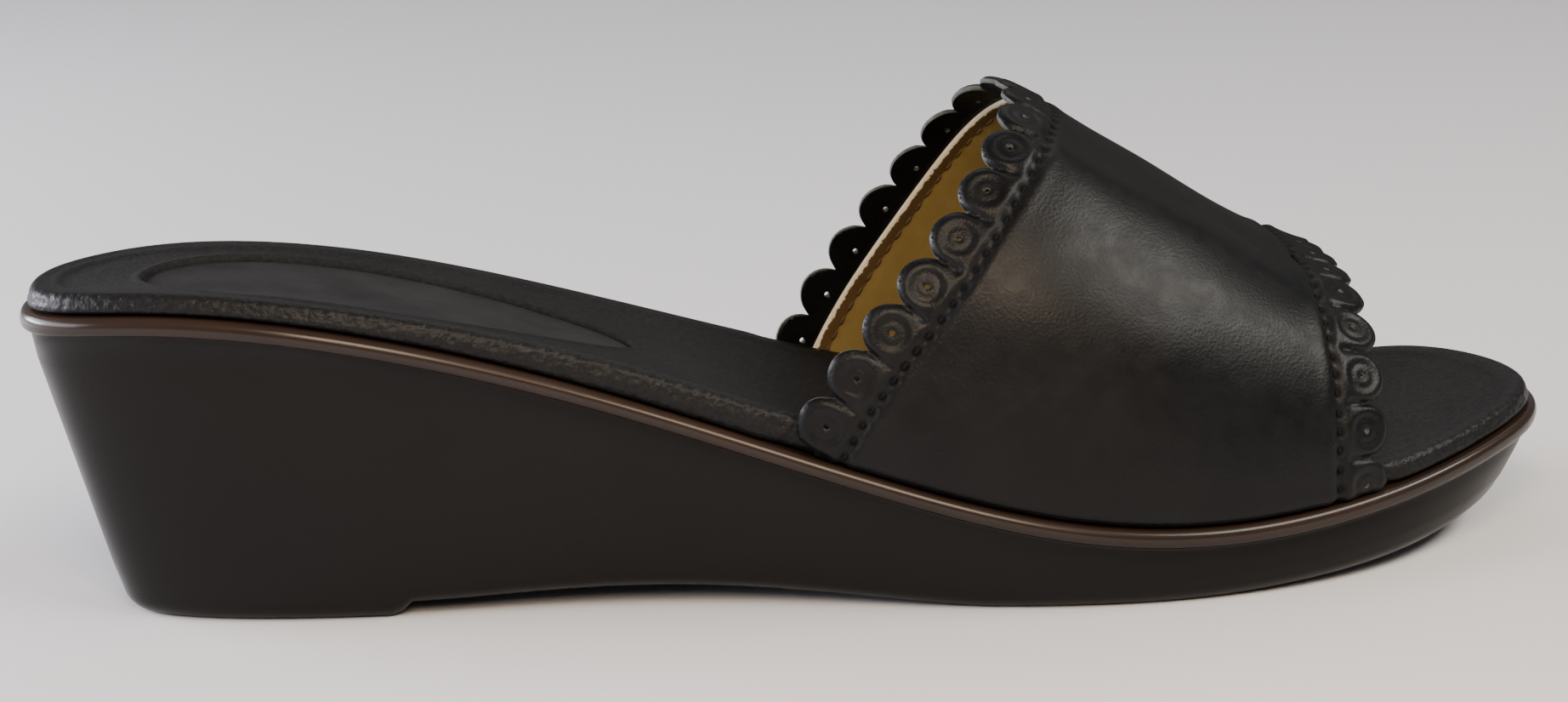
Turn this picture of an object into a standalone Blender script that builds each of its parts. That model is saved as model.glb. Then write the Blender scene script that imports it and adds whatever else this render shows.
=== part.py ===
"""Women's wedge mule, right foot, about EU 37 to 38: a moulded wedge sole, a padded insole
with a smooth heel patch let into it, and one wide leather band with scalloped edges.

+X runs from heel to toe, +Y to the wearer's left (the inner side of this right shoe),
+Z up. The floor is z = 0, under the middle of the shoe's box.
"""

import math

import bmesh
import bpy
import numpy as np
from mathutils import Vector
from mathutils.geometry import delaunay_2d_cdt

MM = 0.001

# Driving sizes of the shoe
SOLE_LENGTH = 246.5 * MM
BALL_WIDTH = 86 * MM
HEEL_END_RADIUS = 27 * MM
TOE_END_RADIUS = 33 * MM
HEEL_SEAT_HEIGHT = 50.5 * MM
CLEARANCE = 0.3 * MM
CURVED_CLEARANCE = 0.45 * MM

# Plan of the sole's rim: widths from the shoe's axis, as shares of the ball width
OUTLINE = [
    # length  lateral  medial
    (0.04, 0.185, 0.200),
    (0.11, 0.252, 0.275),
    (0.22, 0.296, 0.312),
    (0.36, 0.318, 0.302),
    (0.50, 0.396, 0.335),
    (0.62, 0.484, 0.415),
    (0.72, 0.510, 0.470),
    (0.82, 0.462, 0.476),
    (0.90, 0.362, 0.430),
    (0.96, 0.236, 0.332),
]

# Height of the seat, the sole's top under the insole, as shares of the heel's, and
# the insole's thickness over it, as shares of its full one
SEAT = [
    # length  height  insole
    (0.00, 0.980, 0.60),
    (0.08, 1.000, 0.60),
    (0.18, 0.952, 0.64),
    (0.30, 0.808, 0.80),
    (0.42, 0.614, 0.96),
    (0.54, 0.416, 1.00),
    (0.66, 0.272, 0.94),
    (0.78, 0.242, 0.78),
    (0.90, 0.305, 0.64),
    (1.00, 0.394, 0.60),
]

# Sole unit: wall, rim lip, and underside
SIDE_DRAFT = math.radians(4)
HEEL_RAKE = math.radians(11)
HEEL_RAKE_LENGTH = 72 * MM
TOE_RAKE = math.radians(30)
TOE_RAKE_LENGTH = 46 * MM
LIP_HEIGHT = 3.0 * MM
LIP_OVERHANG = 1.0 * MM
SOLE_EDGE_RADIUS = 3.0 * MM
HEEL_PAD_LENGTH = 45.5 * MM
HEEL_PAD_STEP = 2.2 * MM
HEEL_PAD_SLOPE = 3.0 * MM
HEEL_PAD_END = HEEL_SEAT_HEIGHT * math.tan(HEEL_RAKE) + HEEL_PAD_LENGTH
ARCH_RISE = 2.6 * MM
ARCH_FRONT = 0.60
TOE_SPRING = 6.0 * MM
TOE_SPRING_START = 0.70

# Insole: a padded board in a wrapped cover
INSOLE_THICKNESS = 5.4 * MM
INSOLE_EDGE_RADIUS = 1.6 * MM
INSOLE_SIDE_BULGE = 0.3 * MM
INSOLE_INSET = 1.4 * MM
INSOLE_DISH = 1.6 * MM
INSOLE_RELIEF_STEP = 1.6 * MM
INSOLE_BOARD_STEP = 1.0 * MM

# Heel patch: a smooth oval let into the insole
PATCH_LENGTH = 77 * MM
PATCH_WIDTH = 32 * MM
PATCH_START = 19.5 * MM
PATCH_SLANT = 4 * MM
PATCH_THICKNESS = 0.8 * MM
PATCH_DEPTH = 0.6 * MM
PATCH_POCKET_RISE = 4 * MM

# Band: leather and lining over the forefoot
LEATHER = 1.1 * MM
LINING = 0.6 * MM
BAND_INSET = 0.3 * MM
BAND_CORNER_RADIUS = 2.0 * MM
LASTING_MARGIN = 9 * MM
BAND_REAR_LATERAL_FOOT = 122 * MM
BAND_REAR_MEDIAL_FOOT = 126 * MM
BAND_REAR_SWING = 26 * MM
BAND_REAR_BOW = 12 * MM
BAND_FRONT_FOOT = 208.3 * MM
BAND_FRONT_SWING = 0.5 * MM
CREST_HEIGHT = 78 * MM
CREST_OFFSET = 2 * MM
REAR_FULLNESS = 2.1
FRONT_FULLNESS = 2.6

# Crest line of the band over the foot, as shares of its greatest height
CREST = [
    # length  height
    (0.60, 0.982),
    (0.63, 0.988),
    (0.66, 0.952),
    (0.70, 0.868),
    (0.74, 0.787),
    (0.78, 0.700),
    (0.82, 0.623),
    (0.86, 0.570),
]

# Scallops: round lobes along both edges of the band
LOBE_PITCH = 9.0 * MM
LOBE_ROUNDNESS = 0.512
LOBE_STEPS = 7
REAR_FIRST_LOBE = 3.5 * MM
FRONT_FIRST_LOBE = 0.0 * MM
LINING_EDGE = 2.0 * MM
LINING_EDGE_STEP = 0.2 * MM

# Meshes: stations along the sole, and the gaps and steps of the band's pattern
STATIONS = 44
PATTERN_EDGE_GAP = 3.0 * MM
PATTERN_END_GAP = 1.2 * MM
PATTERN_STEP = 0.1 * MM


def spline(rows, at):
    """Natural cubic through (position, value) rows, read at an array of positions."""
    x, y = (np.array(column, float) for column in zip(*rows))
    step = np.diff(x)
    slope = np.diff(y) / step
    system = np.eye(len(x))
    right = np.zeros(len(x))
    for i in range(1, len(x) - 1):
        system[i, i - 1 : i + 2] = step[i - 1], 2 * (step[i - 1] + step[i]), step[i]
        right[i] = 6 * (slope[i] - slope[i - 1])
    bend = np.linalg.solve(system, right)
    at = np.atleast_1d(np.asarray(at, float))
    i = np.clip(np.searchsorted(x, at) - 1, 0, len(step) - 1)
    a, b = x[i + 1] - at, at - x[i]
    curve = (bend[i] * a**3 + bend[i + 1] * b**3) / (6 * step[i])
    line = (y[i] / step[i] - bend[i] * step[i] / 6) * a
    return curve + line + (y[i + 1] / step[i] - bend[i + 1] * step[i] / 6) * b


def half_width(share, column):
    """Rim's distance from the axis on one side: round at both ends, smooth between."""
    angle = np.arccos(1 - 2 * np.clip(share, 0, 1))
    rows = [(0.0, math.sqrt(HEEL_END_RADIUS * SOLE_LENGTH / 2))]
    for row in OUTLINE:
        turn = math.acos(1 - 2 * row[0])
        rows.append((turn / math.pi, row[column] * BALL_WIDTH / math.sin(turn)))
    rows.append((1.0, math.sqrt(TOE_END_RADIUS * SOLE_LENGTH / 2)))
    return np.sin(angle) * spline(rows, angle / math.pi)


def seat_height(share):
    rows = [(length, height) for length, height, _ in SEAT]
    return spline(rows, np.clip(share, 0, 1)) * HEEL_SEAT_HEIGHT


def insole_height(share):
    """Height of the insole's edge over the seat."""
    rows = [(length, insole) for length, _, insole in SEAT]
    return CLEARANCE + spline(rows, np.clip(share, 0, 1)) * INSOLE_THICKNESS


def underside_height(x):
    """Sole's underside: heel pad, shallow arch, flat forefoot, toe spring."""
    arch_end = ARCH_FRONT * SOLE_LENGTH
    spring_start = TOE_SPRING_START * SOLE_LENGTH
    along = np.clip((x - HEEL_PAD_END) / (arch_end - HEEL_PAD_END), 0, 1)
    arch = HEEL_PAD_STEP * (1 - along) ** 2 + ARCH_RISE * np.sin(math.pi * along) ** 1.4
    toe = np.clip((x - spring_start) / (SOLE_LENGTH - spring_start), 0, 1)
    step = np.clip((x - HEEL_PAD_END) / HEEL_PAD_SLOPE, 0, 1)
    return arch * step + TOE_SPRING * toe**2


def closed_outline(shares):
    """Rim outline as a loop: lateral side heel to toe, then medial side back."""
    x = shares * SOLE_LENGTH
    lateral = np.stack([x, -half_width(shares, 1)], 1)
    medial = np.stack([x, half_width(shares, 2)], 1)
    return np.concatenate([lateral, medial[-2:0:-1]])


def outward(loop):
    """Unit normals of a loop that runs anticlockwise."""
    along = np.roll(loop, -1, 0) - np.roll(loop, 1, 0)
    normal = np.stack([along[:, 1], -along[:, 0]], 1)
    return normal / np.linalg.norm(normal, axis=1, keepdims=True)


def loop_shares(shares):
    return np.concatenate([shares, shares[-2:0:-1]])


def station_shares(*extra):
    """Stations that crowd towards the round ends, with extra ones in place of near ones."""
    even = (1 - np.cos(np.linspace(0, math.pi, STATIONS))) / 2
    extra = np.array(extra) / SOLE_LENGTH
    near = 0.004
    kept = [share for share in even if all(abs(share - other) > near for other in extra)]
    return np.array(sorted([*kept, *extra]))


class Body:
    """Vertices and faces of one closed piece, put together from loops and grids."""

    def __init__(self):
        self.points = []
        self.faces = []

    def add(self, points):
        first = len(self.points)
        self.points.extend(map(tuple, points))
        return list(range(first, first + len(points)))

    def seat_ring(self, rim, normal, inset, rise):
        """The rim's loop drawn in by an inset, at a height over the seat."""
        flat = rim - normal * np.broadcast_to(inset, len(rim))[:, None]
        return self.add(np.column_stack([flat, seat_height(flat[:, 0] / SOLE_LENGTH) + rise]))

    def bridge(self, lower, upper):
        count = len(lower)
        for i in range(count):
            j = (i + 1) % count
            self.faces.append((lower[i], lower[j], upper[j], upper[i]))

    def cap(self, ring, columns, lift, upward):
        """Closes a loop with rows across it; lift gives a row's rise from its edges."""
        half = len(ring) // 2
        rows = [[ring[0]]]
        for i in range(1, half):
            a = np.array(self.points[ring[i]])
            b = np.array(self.points[ring[-i]])
            inner = [a + (b - a) * k / columns for k in range(1, columns)]
            for k, point in enumerate(inner, 1):
                point[2] += lift(point[0], 2 * k / columns - 1)
            rows.append([ring[i], *self.add(inner), ring[-i]])
        rows.append([ring[half]])
        for low, high in zip(rows, rows[1:]):
            for face in self.row_faces(low, high):
                self.faces.append(face if upward else face[::-1])

    @staticmethod
    def row_faces(low, high):
        if len(low) == 1:
            return [(low[0], high[k], high[k + 1]) for k in range(len(high) - 1)]
        if len(high) == 1:
            return [(low[k], high[0], low[k + 1]) for k in range(len(low) - 1)]
        return [
            (low[k], high[k], high[k + 1], low[k + 1]) for k in range(len(low) - 1)
        ]

    def build(self, name, collection, finish):
        mesh = bpy.data.meshes.new(name)
        mesh.from_pydata(self.points, [], self.faces)
        shape = bmesh.new()
        shape.from_mesh(mesh)
        bmesh.ops.recalc_face_normals(shape, faces=shape.faces)
        shape.to_mesh(mesh)
        shape.free()
        mesh.materials.append(finish)
        mesh.shade_smooth()
        mesh.set_sharp_from_angle(angle=math.radians(40))
        obj = bpy.data.objects.new(name, mesh)
        collection.objects.link(obj)
        return obj


def no_lift(x, across):
    return 0.0


def sole(collection, finish):
    """Wedge: one moulding from the heel pad up to the rounded lip of the rim."""
    shares = station_shares(HEEL_PAD_END, HEEL_PAD_END + HEEL_PAD_SLOPE)
    rim = closed_outline(shares)
    normal = outward(rim)
    at = loop_shares(shares)
    seat = seat_height(at)
    wall_top = seat - LIP_HEIGHT
    under = underside_height(rim[:, 0])
    back = np.clip(1 - rim[:, 0] / HEEL_RAKE_LENGTH, 0, 1) ** 2
    front = np.clip(1 - (SOLE_LENGTH - rim[:, 0]) / TOE_RAKE_LENGTH, 0, 1) ** 2
    rake = back * math.tan(HEEL_RAKE) - front * math.tan(TOE_RAKE)

    def ring(inset, height):
        flat = rim - normal * np.broadcast_to(inset, len(rim))[:, None]
        flat[:, 0] += rake * (wall_top - height)
        return body.add(np.column_stack([flat, np.broadcast_to(height, len(rim))]))

    def wall_inset(height):
        return LIP_OVERHANG + (wall_top - height) * math.tan(SIDE_DRAFT)

    body = Body()
    rings = []
    for turn in (0.0, math.pi / 6, math.pi / 3):
        inset = wall_inset(under) + SOLE_EDGE_RADIUS * (1 - math.sin(turn))
        rings.append(ring(inset, under + SOLE_EDGE_RADIUS * (1 - math.cos(turn))))
    foot = under + SOLE_EDGE_RADIUS
    for share in (0.0, 0.5, 1.0):
        height = foot + (wall_top - foot) * share
        rings.append(ring(wall_inset(height), height))
    lip = [(0.30, -0.86), (0.0, -0.52), (0.22, -0.17), (0.95, 0.0)]
    for overhang, drop in lip:
        rings.append(body.seat_ring(rim, normal, overhang * LIP_OVERHANG, drop * LIP_HEIGHT))
    rings.append(body.seat_ring(rim, normal, insole_inset() + INSOLE_EDGE_RADIUS, 0.0))
    for lower, upper in zip(rings, rings[1:]):
        body.bridge(lower, upper)
    body.cap(rings[0], 4, no_lift, upward=False)
    body.cap(rings[-1], 6, no_lift, upward=True)
    return body.build("sole", collection, finish)


def wall():
    return LEATHER + LINING


def insole_inset():
    """From the rim to the insole's side: the band passes between them."""
    return BAND_INSET + wall() + CURVED_CLEARANCE


def dish(x, across):
    """Drop of the insole's top from its edge towards its middle, deepest at the heel."""
    share = x / SOLE_LENGTH
    depth = INSOLE_DISH * (1 - 0.6 * np.clip(share, 0, 1))
    return -depth * (1 - np.abs(across) ** 2.2)


def insole(collection, finish):
    """Padded insole: wrapped side, rounded edge, dished top, relieved underneath."""
    lobe = LOBE_PITCH * LOBE_ROUNDNESS + 2 * CLEARANCE
    feet = [BAND_REAR_LATERAL_FOOT - lobe, BAND_REAR_MEDIAL_FOOT - lobe]
    toe_side = BAND_FRONT_FOOT + lobe
    half_step = INSOLE_RELIEF_STEP / 2
    steps = [(end - half_step, end + half_step) for end in (*feet, toe_side)]
    shares = station_shares(*steps[0], *steps[1], *steps[2])
    rim = closed_outline(shares)
    normal = outward(rim)
    x = loop_shares(shares) * SOLE_LENGTH
    relieved = (x > np.where(rim[:, 1] < 0, *feet)) & (x < toe_side)
    raised = CLEARANCE + np.where(relieved, wall() + CURVED_CLEARANCE, 0.0)
    top = insole_height(loop_shares(shares))
    side = np.where(relieved, insole_inset(), INSOLE_INSET) + INSOLE_SIDE_BULGE
    under = insole_inset() + LASTING_MARGIN + CLEARANCE
    radius = INSOLE_EDGE_RADIUS
    profile = [
        (under + INSOLE_BOARD_STEP, CLEARANCE),
        (under, raised),
        (side, raised),
        (side - INSOLE_SIDE_BULGE, (raised + top - radius) / 2),
        (side, top - radius),
    ]
    for turn in (math.pi / 6, math.pi / 3, math.pi / 2):
        inset = side + radius * (1 - math.cos(turn))
        profile.append((inset, top - radius * (1 - math.sin(turn))))
    body = Body()
    rings = [body.seat_ring(rim, normal, inset, rise) for inset, rise in profile]
    for lower, upper in zip(rings, rings[1:]):
        body.bridge(lower, upper)
    body.cap(rings[0], 4, no_lift, upward=False)
    body.cap(rings[-1], 10, dish, upward=True)
    return body.build("insole", collection, finish)


def insole_top(x, y):
    """Height of the insole's top at a place on it."""
    share = x / SOLE_LENGTH
    edge = insole_inset() + INSOLE_EDGE_RADIUS
    lateral = -(half_width(share, 1) - edge)
    medial = half_width(share, 2) - edge
    across = np.clip(2 * (y - lateral) / (medial - lateral) - 1, -1, 1)
    return seat_height(share) + insole_height(share) + dish(x, across)


def patch_outline(grow, count=36):
    """Oval of the heel patch: blunt at the back, drawn out towards the arch."""
    turn = np.linspace(0, 2 * math.pi, count, endpoint=False)
    x = PATCH_START + PATCH_LENGTH / 2 * (1 - np.cos(turn))
    taper = 1 + 0.22 * np.cos(turn)
    y = -PATCH_WIDTH / 2 * np.sin(turn) * taper
    y = y - PATCH_SLANT * (1 - np.cos(turn)) / 2
    loop = np.stack([x, y], 1)
    return loop + outward(loop) * grow


def patch_body(name, grow, bottom, top, collection, finish):
    """Plate that follows the insole's top, between two heights measured from it."""
    loop = patch_outline(grow)
    body = Body()

    def layer(offset):
        height = insole_top(loop[:, 0], loop[:, 1]) + offset
        return body.add(np.column_stack([loop, height]))

    def follow(x, across):
        width = half_chord(loop, x)
        ends = insole_top(x, np.array([-width, width]))
        here = insole_top(x, np.array([across * width]))
        chord = ends[0] + (ends[1] - ends[0]) * (across + 1) / 2
        return float(here[0] - chord)

    low, high = layer(bottom), layer(top)
    body.bridge(low, high)
    body.cap(low, 6, follow, upward=False)
    body.cap(high, 6, follow, upward=True)
    return body.build(name, collection, finish)


def half_chord(loop, x):
    """Half of the oval's width at a station."""
    half = len(loop) // 2
    side = loop[: half + 1]
    order = np.argsort(side[:, 0])
    return abs(np.interp(x, side[order, 0], side[order, 1]))


def heel_patch(parts, helpers, finish, base):
    """Smooth oval patch, in a pocket cut for it in the insole."""
    pocket = patch_body(
        "patch_pocket",
        CLEARANCE,
        -(PATCH_DEPTH + PATCH_THICKNESS + CLEARANCE),
        PATCH_POCKET_RISE,
        helpers,
        finish,
    )
    pocket.hide_render = True
    pocket.display_type = "WIRE"
    cut = base.modifiers.new("patch_pocket", "BOOLEAN")
    cut.operation = "DIFFERENCE"
    cut.object = pocket
    bottom = -(PATCH_DEPTH + PATCH_THICKNESS)
    return patch_body("heel_patch", 0.0, bottom, -PATCH_DEPTH, parts, finish)


class BandForm:
    """The form that the band is lasted over: its outer surface, section by section."""

    SAMPLES = 160

    def __init__(self):
        middle = (BAND_REAR_MEDIAL_FOOT + BAND_FRONT_FOOT) / 2
        self.girth = self.section(middle)[1]
        turn = np.linspace(0, 1, 60)
        here = np.array([self.point(middle, s * self.girth) for s in turn])
        foot, crest = here[0, 2], here[:, 2].max()
        self.rise = (turn, (here[:, 2] - foot) / (crest - foot))

    def section(self, x):
        """One station: arch points, girth, lengths along it, and (feet, seat)."""
        share = x / SOLE_LENGTH
        lateral = float(half_width(share, 1)[0]) - BAND_INSET
        medial = float(half_width(share, 2)[0]) - BAND_INSET
        base = float(seat_height(share)[0]) + CLEARANCE
        crest = float(spline(CREST, share)[0]) * CREST_HEIGHT
        foot = base + BAND_CORNER_RADIUS
        turn = np.linspace(0, math.pi, self.SAMPLES)
        forward = (x - BAND_REAR_MEDIAL_FOOT) / (BAND_FRONT_FOOT - BAND_REAR_MEDIAL_FOOT)
        forward = min(max(forward, 0.0), 1.0)
        power = 2 / (REAR_FULLNESS + (FRONT_FULLNESS - REAR_FULLNESS) * forward)
        across = np.sign(np.cos(turn)) * np.abs(np.cos(turn)) ** power
        up = np.sin(turn).clip(0) ** power
        y = np.where(
            across > 0,
            CREST_OFFSET - (lateral + CREST_OFFSET) * across,
            CREST_OFFSET - (medial - CREST_OFFSET) * across,
        )
        points = np.stack([y, foot + (crest - foot) * up], 1)
        lengths = np.linalg.norm(np.diff(points, axis=0), axis=1)
        run = np.concatenate([[0.0], np.cumsum(lengths)])
        return points, run[-1], run, (lateral, medial, base)

    def point(self, x, reach):
        """Place at a station and at a reach round the form from the lateral foot."""
        points, girth, run, (lateral, medial, base) = self.section(x)
        if reach < 0:
            return self.margin(x, -reach, -lateral, 1, base)
        if reach > self.girth:
            return self.margin(x, reach - self.girth, medial, -1, base)
        here = reach / self.girth * girth
        return (
            x,
            np.interp(here, run, points[:, 0]),
            np.interp(here, run, points[:, 1]),
        )

    @staticmethod
    def margin(x, reach, side, inward, base):
        """Round the corner at the foot, then flat under the insole."""
        radius = BAND_CORNER_RADIUS
        quarter = radius * math.pi / 2
        turn = min(reach, quarter) / radius
        flat = max(reach - quarter, 0.0)
        y = side + inward * (radius * (1 - math.cos(turn)) + flat)
        return (x, y, base + radius * (1 - math.sin(turn)))

    def frame(self, x, reach):
        """Place, its two directions and the outward normal there."""
        step = PATTERN_STEP / 2
        place = np.array(self.point(x, reach))
        along = np.subtract(self.point(x + step, reach), self.point(x - step, reach)) / PATTERN_STEP
        around = np.subtract(self.point(x, reach + step), self.point(x, reach - step)) / PATTERN_STEP
        normal = np.cross(along, around)
        return place, along, around, normal / np.linalg.norm(normal)

    def edge(self, reach, lateral_foot, medial_foot, swing, bow):
        """Station of an edge of the band: it swings forward as it climbs."""
        share = min(max(reach / self.girth, 0.0), 1.0)
        up = np.interp(share, *self.rise)
        foot = lateral_foot + (medial_foot - lateral_foot) * share
        return foot + swing * up + bow * up**3


def edge_frame(form, station, reach, rear):
    """Edge's place in the pattern, with unit steps along it and outward from it."""
    x = station(reach)
    _, along, around, normal = form.frame(x, reach)
    ahead, back = reach + PATTERN_STEP, reach - PATTERN_STEP
    tangent = np.subtract(form.point(station(ahead), ahead), form.point(station(back), back))
    tangent /= np.linalg.norm(tangent)
    out = np.cross(tangent, normal)
    if (out[0] > 0) == rear:
        out = -out
    basis = np.column_stack([along, around])

    def in_pattern(vector):
        return np.linalg.lstsq(basis, vector, rcond=None)[0]

    return np.array([x, reach]), in_pattern(tangent), in_pattern(out)


def edge_reaches(form, station):
    """Length along an edge against reach, from the lateral foot."""
    reach = np.linspace(-LASTING_MARGIN, form.girth + LASTING_MARGIN, 160)
    places = np.array([form.point(station(r), r) for r in reach])
    run = np.concatenate([[0.0], np.cumsum(np.linalg.norm(np.diff(places, axis=0), axis=1))])
    foot = np.interp(0.0, reach, run)
    return reach, run - foot


def scalloped_edge(form, station, first_lobe, rear):
    """One edge of the pattern from lateral to medial margin: round lobes and cusps."""
    reach, run = edge_reaches(form, station)
    length = float(np.interp(form.girth, reach, run))
    count = round((length - 2 * first_lobe) / LOBE_PITCH)
    pitch = (length - 2 * first_lobe) / count
    radius = pitch * LOBE_ROUNDNESS
    crown = math.acos(pitch / 2 / radius)
    rise = math.sqrt(radius**2 - (pitch / 2) ** 2)
    line = [np.array([station(reach[0]), reach[0]])]

    def place(at, along, out):
        here = float(np.interp(at, run, reach))
        centre, tangent, away = edge_frame(form, station, here, rear)
        return centre + tangent * along + away * out

    line.append(place(first_lobe - radius, 0.0, 0.0))
    for lobe in range(count + 1):
        centre = first_lobe + lobe * pitch
        low = math.pi if lobe == 0 else math.pi - crown
        high = 0.0 if lobe == count else crown
        for turn in np.linspace(low, high, LOBE_STEPS)[1:-1]:
            line.append(place(centre, radius * math.cos(turn), radius * math.sin(turn)))
        if lobe < count:
            line.append(place(centre + pitch / 2, 0.0, rise))
    line.append(place(first_lobe + count * pitch + radius, 0.0, 0.0))
    line.append(np.array([station(reach[-1]), reach[-1]]))
    return line


def lining_line(form, station, inset, rear):
    """Line of the pattern a set distance inside an edge, where the lining stops."""
    reach, run = edge_reaches(form, station)
    line = []
    for at in np.linspace(run[0] + PATTERN_END_GAP, run[-1] - PATTERN_END_GAP, 44):
        here = float(np.interp(at, run, reach))
        centre, _, away = edge_frame(form, station, here, rear)
        line.append(centre - away * inset)
    return line


def inside(polygon, point):
    """Whether a point of the pattern lies inside its outline."""
    x, y = point
    crossings = 0
    for (ax, ay), (bx, by) in zip(polygon, np.roll(polygon, -1, 0)):
        if (ay > y) != (by > y) and x < ax + (y - ay) * (bx - ax) / (by - ay):
            crossings += 1
    return crossings % 2 == 1


def band(collection, finish):
    """Band: cut flat to a scalloped outline, lasted over the foot, feet turned under."""
    form = BandForm()

    def rear(reach):
        return form.edge(
            reach, BAND_REAR_LATERAL_FOOT, BAND_REAR_MEDIAL_FOOT, BAND_REAR_SWING, BAND_REAR_BOW
        )

    def front(reach):
        return form.edge(reach, BAND_FRONT_FOOT, BAND_FRONT_FOOT, BAND_FRONT_SWING, 0.0)

    rear_edge = scalloped_edge(form, rear, REAR_FIRST_LOBE, rear=True)
    front_edge = scalloped_edge(form, front, FRONT_FIRST_LOBE, rear=False)
    medial_foot = np.linspace(rear_edge[-1], front_edge[-1], 11)[1:-1]
    lateral_foot = np.linspace(front_edge[0], rear_edge[0], 11)[1:-1]
    outline = np.array([*rear_edge, *medial_foot, *front_edge[::-1], *lateral_foot])
    bare, lined = LINING_EDGE - LINING_EDGE_STEP / 2, LINING_EDGE + LINING_EDGE_STEP / 2
    lines = [
        lining_line(form, rear, bare, rear=True),
        lining_line(form, rear, lined, rear=True),
        lining_line(form, front, bare, rear=False),
        lining_line(form, front, lined, rear=False),
    ]
    points = [tuple(p) for p in outline]
    edges = [(i, (i + 1) % len(points)) for i in range(len(points))]
    thin = set()
    for k, line in enumerate(lines):
        first = len(points)
        points.extend(tuple(p) for p in line)
        edges.extend((i, i + 1) for i in range(first, first + len(line) - 1))
        if k % 2 == 0:
            thin.update(range(first, first + len(line)))
    end = LASTING_MARGIN - PATTERN_END_GAP
    inset = LINING_EDGE + PATTERN_EDGE_GAP
    for reach in np.linspace(-end, form.girth + end, 46):
        points.extend((x, reach) for x in np.linspace(rear(reach) + inset, front(reach) - inset, 9))
    vectors = [Vector(p) for p in points]
    flat, _, faces, origin, _, _ = delaunay_2d_cdt(vectors, edges, [], 0, 1e-7)
    faces = [f for f in faces if inside(outline, np.mean([flat[i] for i in f], axis=0))]
    body = Body()
    outer, inner = [], []
    boundary = len(outline)
    for place, source in zip(flat, origin):
        here, _, _, normal = form.frame(place[0], place[1])
        lobed = any(number < boundary or number in thin for number in source)
        outer.append(here)
        inner.append(here - normal * (LEATHER if lobed else wall()))
    top = body.add(outer)
    bottom = body.add(inner)
    count = {}
    for face in faces:
        body.faces.append(tuple(top[i] for i in face))
        body.faces.append(tuple(bottom[i] for i in reversed(face)))
        for a, b in zip(face, [*face[1:], face[0]]):
            count[(a, b)] = count.get((a, b), 0) + 1
    for a, b in count:
        if (b, a) not in count:
            body.faces.append((top[b], top[a], bottom[a], bottom[b]))
    return body.build("upper", collection, finish)


def material(name, colour, roughness):
    made = bpy.data.materials.new(name)
    made.use_nodes = True
    shader = made.node_tree.nodes["Principled BSDF"]
    shader.inputs["Base Color"].default_value = (*colour, 1.0)
    shader.inputs["Roughness"].default_value = roughness
    shader.inputs["Metallic"].default_value = 0.0
    return made


def new_collection(name):
    made = bpy.data.collections.new(name)
    bpy.context.scene.collection.children.link(made)
    return made


def main():
    for obj in list(bpy.data.objects):
        bpy.data.objects.remove(obj, do_unlink=True)
    parts = new_collection("wedge_mule")
    helpers = new_collection("cutters")
    made = [sole(parts, material("sole_urethane", (0.022, 0.016, 0.012), 0.28))]
    base = insole(parts, material("insole_cover", (0.014, 0.014, 0.014), 0.55))
    made.append(base)
    made.append(heel_patch(parts, helpers, material("patch_sheet", (0.030, 0.030, 0.031), 0.38), base))
    made.append(band(parts, material("band_leather", (0.012, 0.012, 0.013), 0.35)))
    low = np.min([v.co[:2] for obj in made for v in obj.data.vertices], axis=0)
    high = np.max([v.co[:2] for obj in made for v in obj.data.vertices], axis=0)
    middle = (low + high) / 2
    root = bpy.data.objects.new("shoe_root", None)
    root.location = (-middle[0], -middle[1], 0.0)
    parts.objects.link(root)
    for obj in [*made, *helpers.objects]:
        obj.parent = root


main()
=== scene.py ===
"""Looks of the wedge mule: a black scalloped leather band with a tan lining, a wrapped
insole with a smooth heel patch, and a glossy wedge sole, dressed on the CAD frame.

Lengths are in millimetres until a mesh is made. x runs from the back of the heel to the
toe, y to the inner side of the foot and z up from the floor.
"""

import math

import bpy
import numpy as np
from mathutils import Matrix, Vector
from mathutils.geometry import delaunay_2d_cdt


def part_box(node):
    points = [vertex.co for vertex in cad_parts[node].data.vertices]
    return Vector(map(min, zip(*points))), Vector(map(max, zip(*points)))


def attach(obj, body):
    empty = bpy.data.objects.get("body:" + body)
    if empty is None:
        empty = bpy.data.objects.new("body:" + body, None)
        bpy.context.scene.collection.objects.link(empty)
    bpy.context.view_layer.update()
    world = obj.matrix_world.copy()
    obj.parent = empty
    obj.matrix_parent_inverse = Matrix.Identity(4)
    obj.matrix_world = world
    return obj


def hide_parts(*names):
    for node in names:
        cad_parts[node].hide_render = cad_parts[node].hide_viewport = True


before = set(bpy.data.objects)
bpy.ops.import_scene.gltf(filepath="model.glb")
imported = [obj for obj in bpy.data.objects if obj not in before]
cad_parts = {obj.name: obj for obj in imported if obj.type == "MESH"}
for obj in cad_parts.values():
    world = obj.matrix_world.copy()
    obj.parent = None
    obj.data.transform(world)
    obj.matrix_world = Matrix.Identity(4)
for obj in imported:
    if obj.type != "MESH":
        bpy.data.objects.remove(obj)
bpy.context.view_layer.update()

# Sole: one wedge of foamed polyurethane, blown in a two-part mould. A rounded lip stands
# out under the insole, the wall rakes in at heel and toe, and the heel pad ends in a
# small step where the shallow arch begins.
LENGTH = 246.5
BALL_WIDTH = 86.0
HEEL_END_RADIUS = 27.0
TOE_END_RADIUS = 33.0
SEAT_TOP = 50.5
SIDE_DRAFT = math.radians(4)
HEEL_RAKE = math.radians(11)
HEEL_RAKE_LENGTH = 72.0
TOE_RAKE = math.radians(30)
TOE_RAKE_LENGTH = 46.0
LIP_HEIGHT = 3.0
LIP_OVERHANG = 1.0
LIP_FILLET = 0.45
LIP_FILLET_REACH = 1.8
EDGE_RADIUS = 3.0
PAD_LENGTH = 45.5
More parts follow.
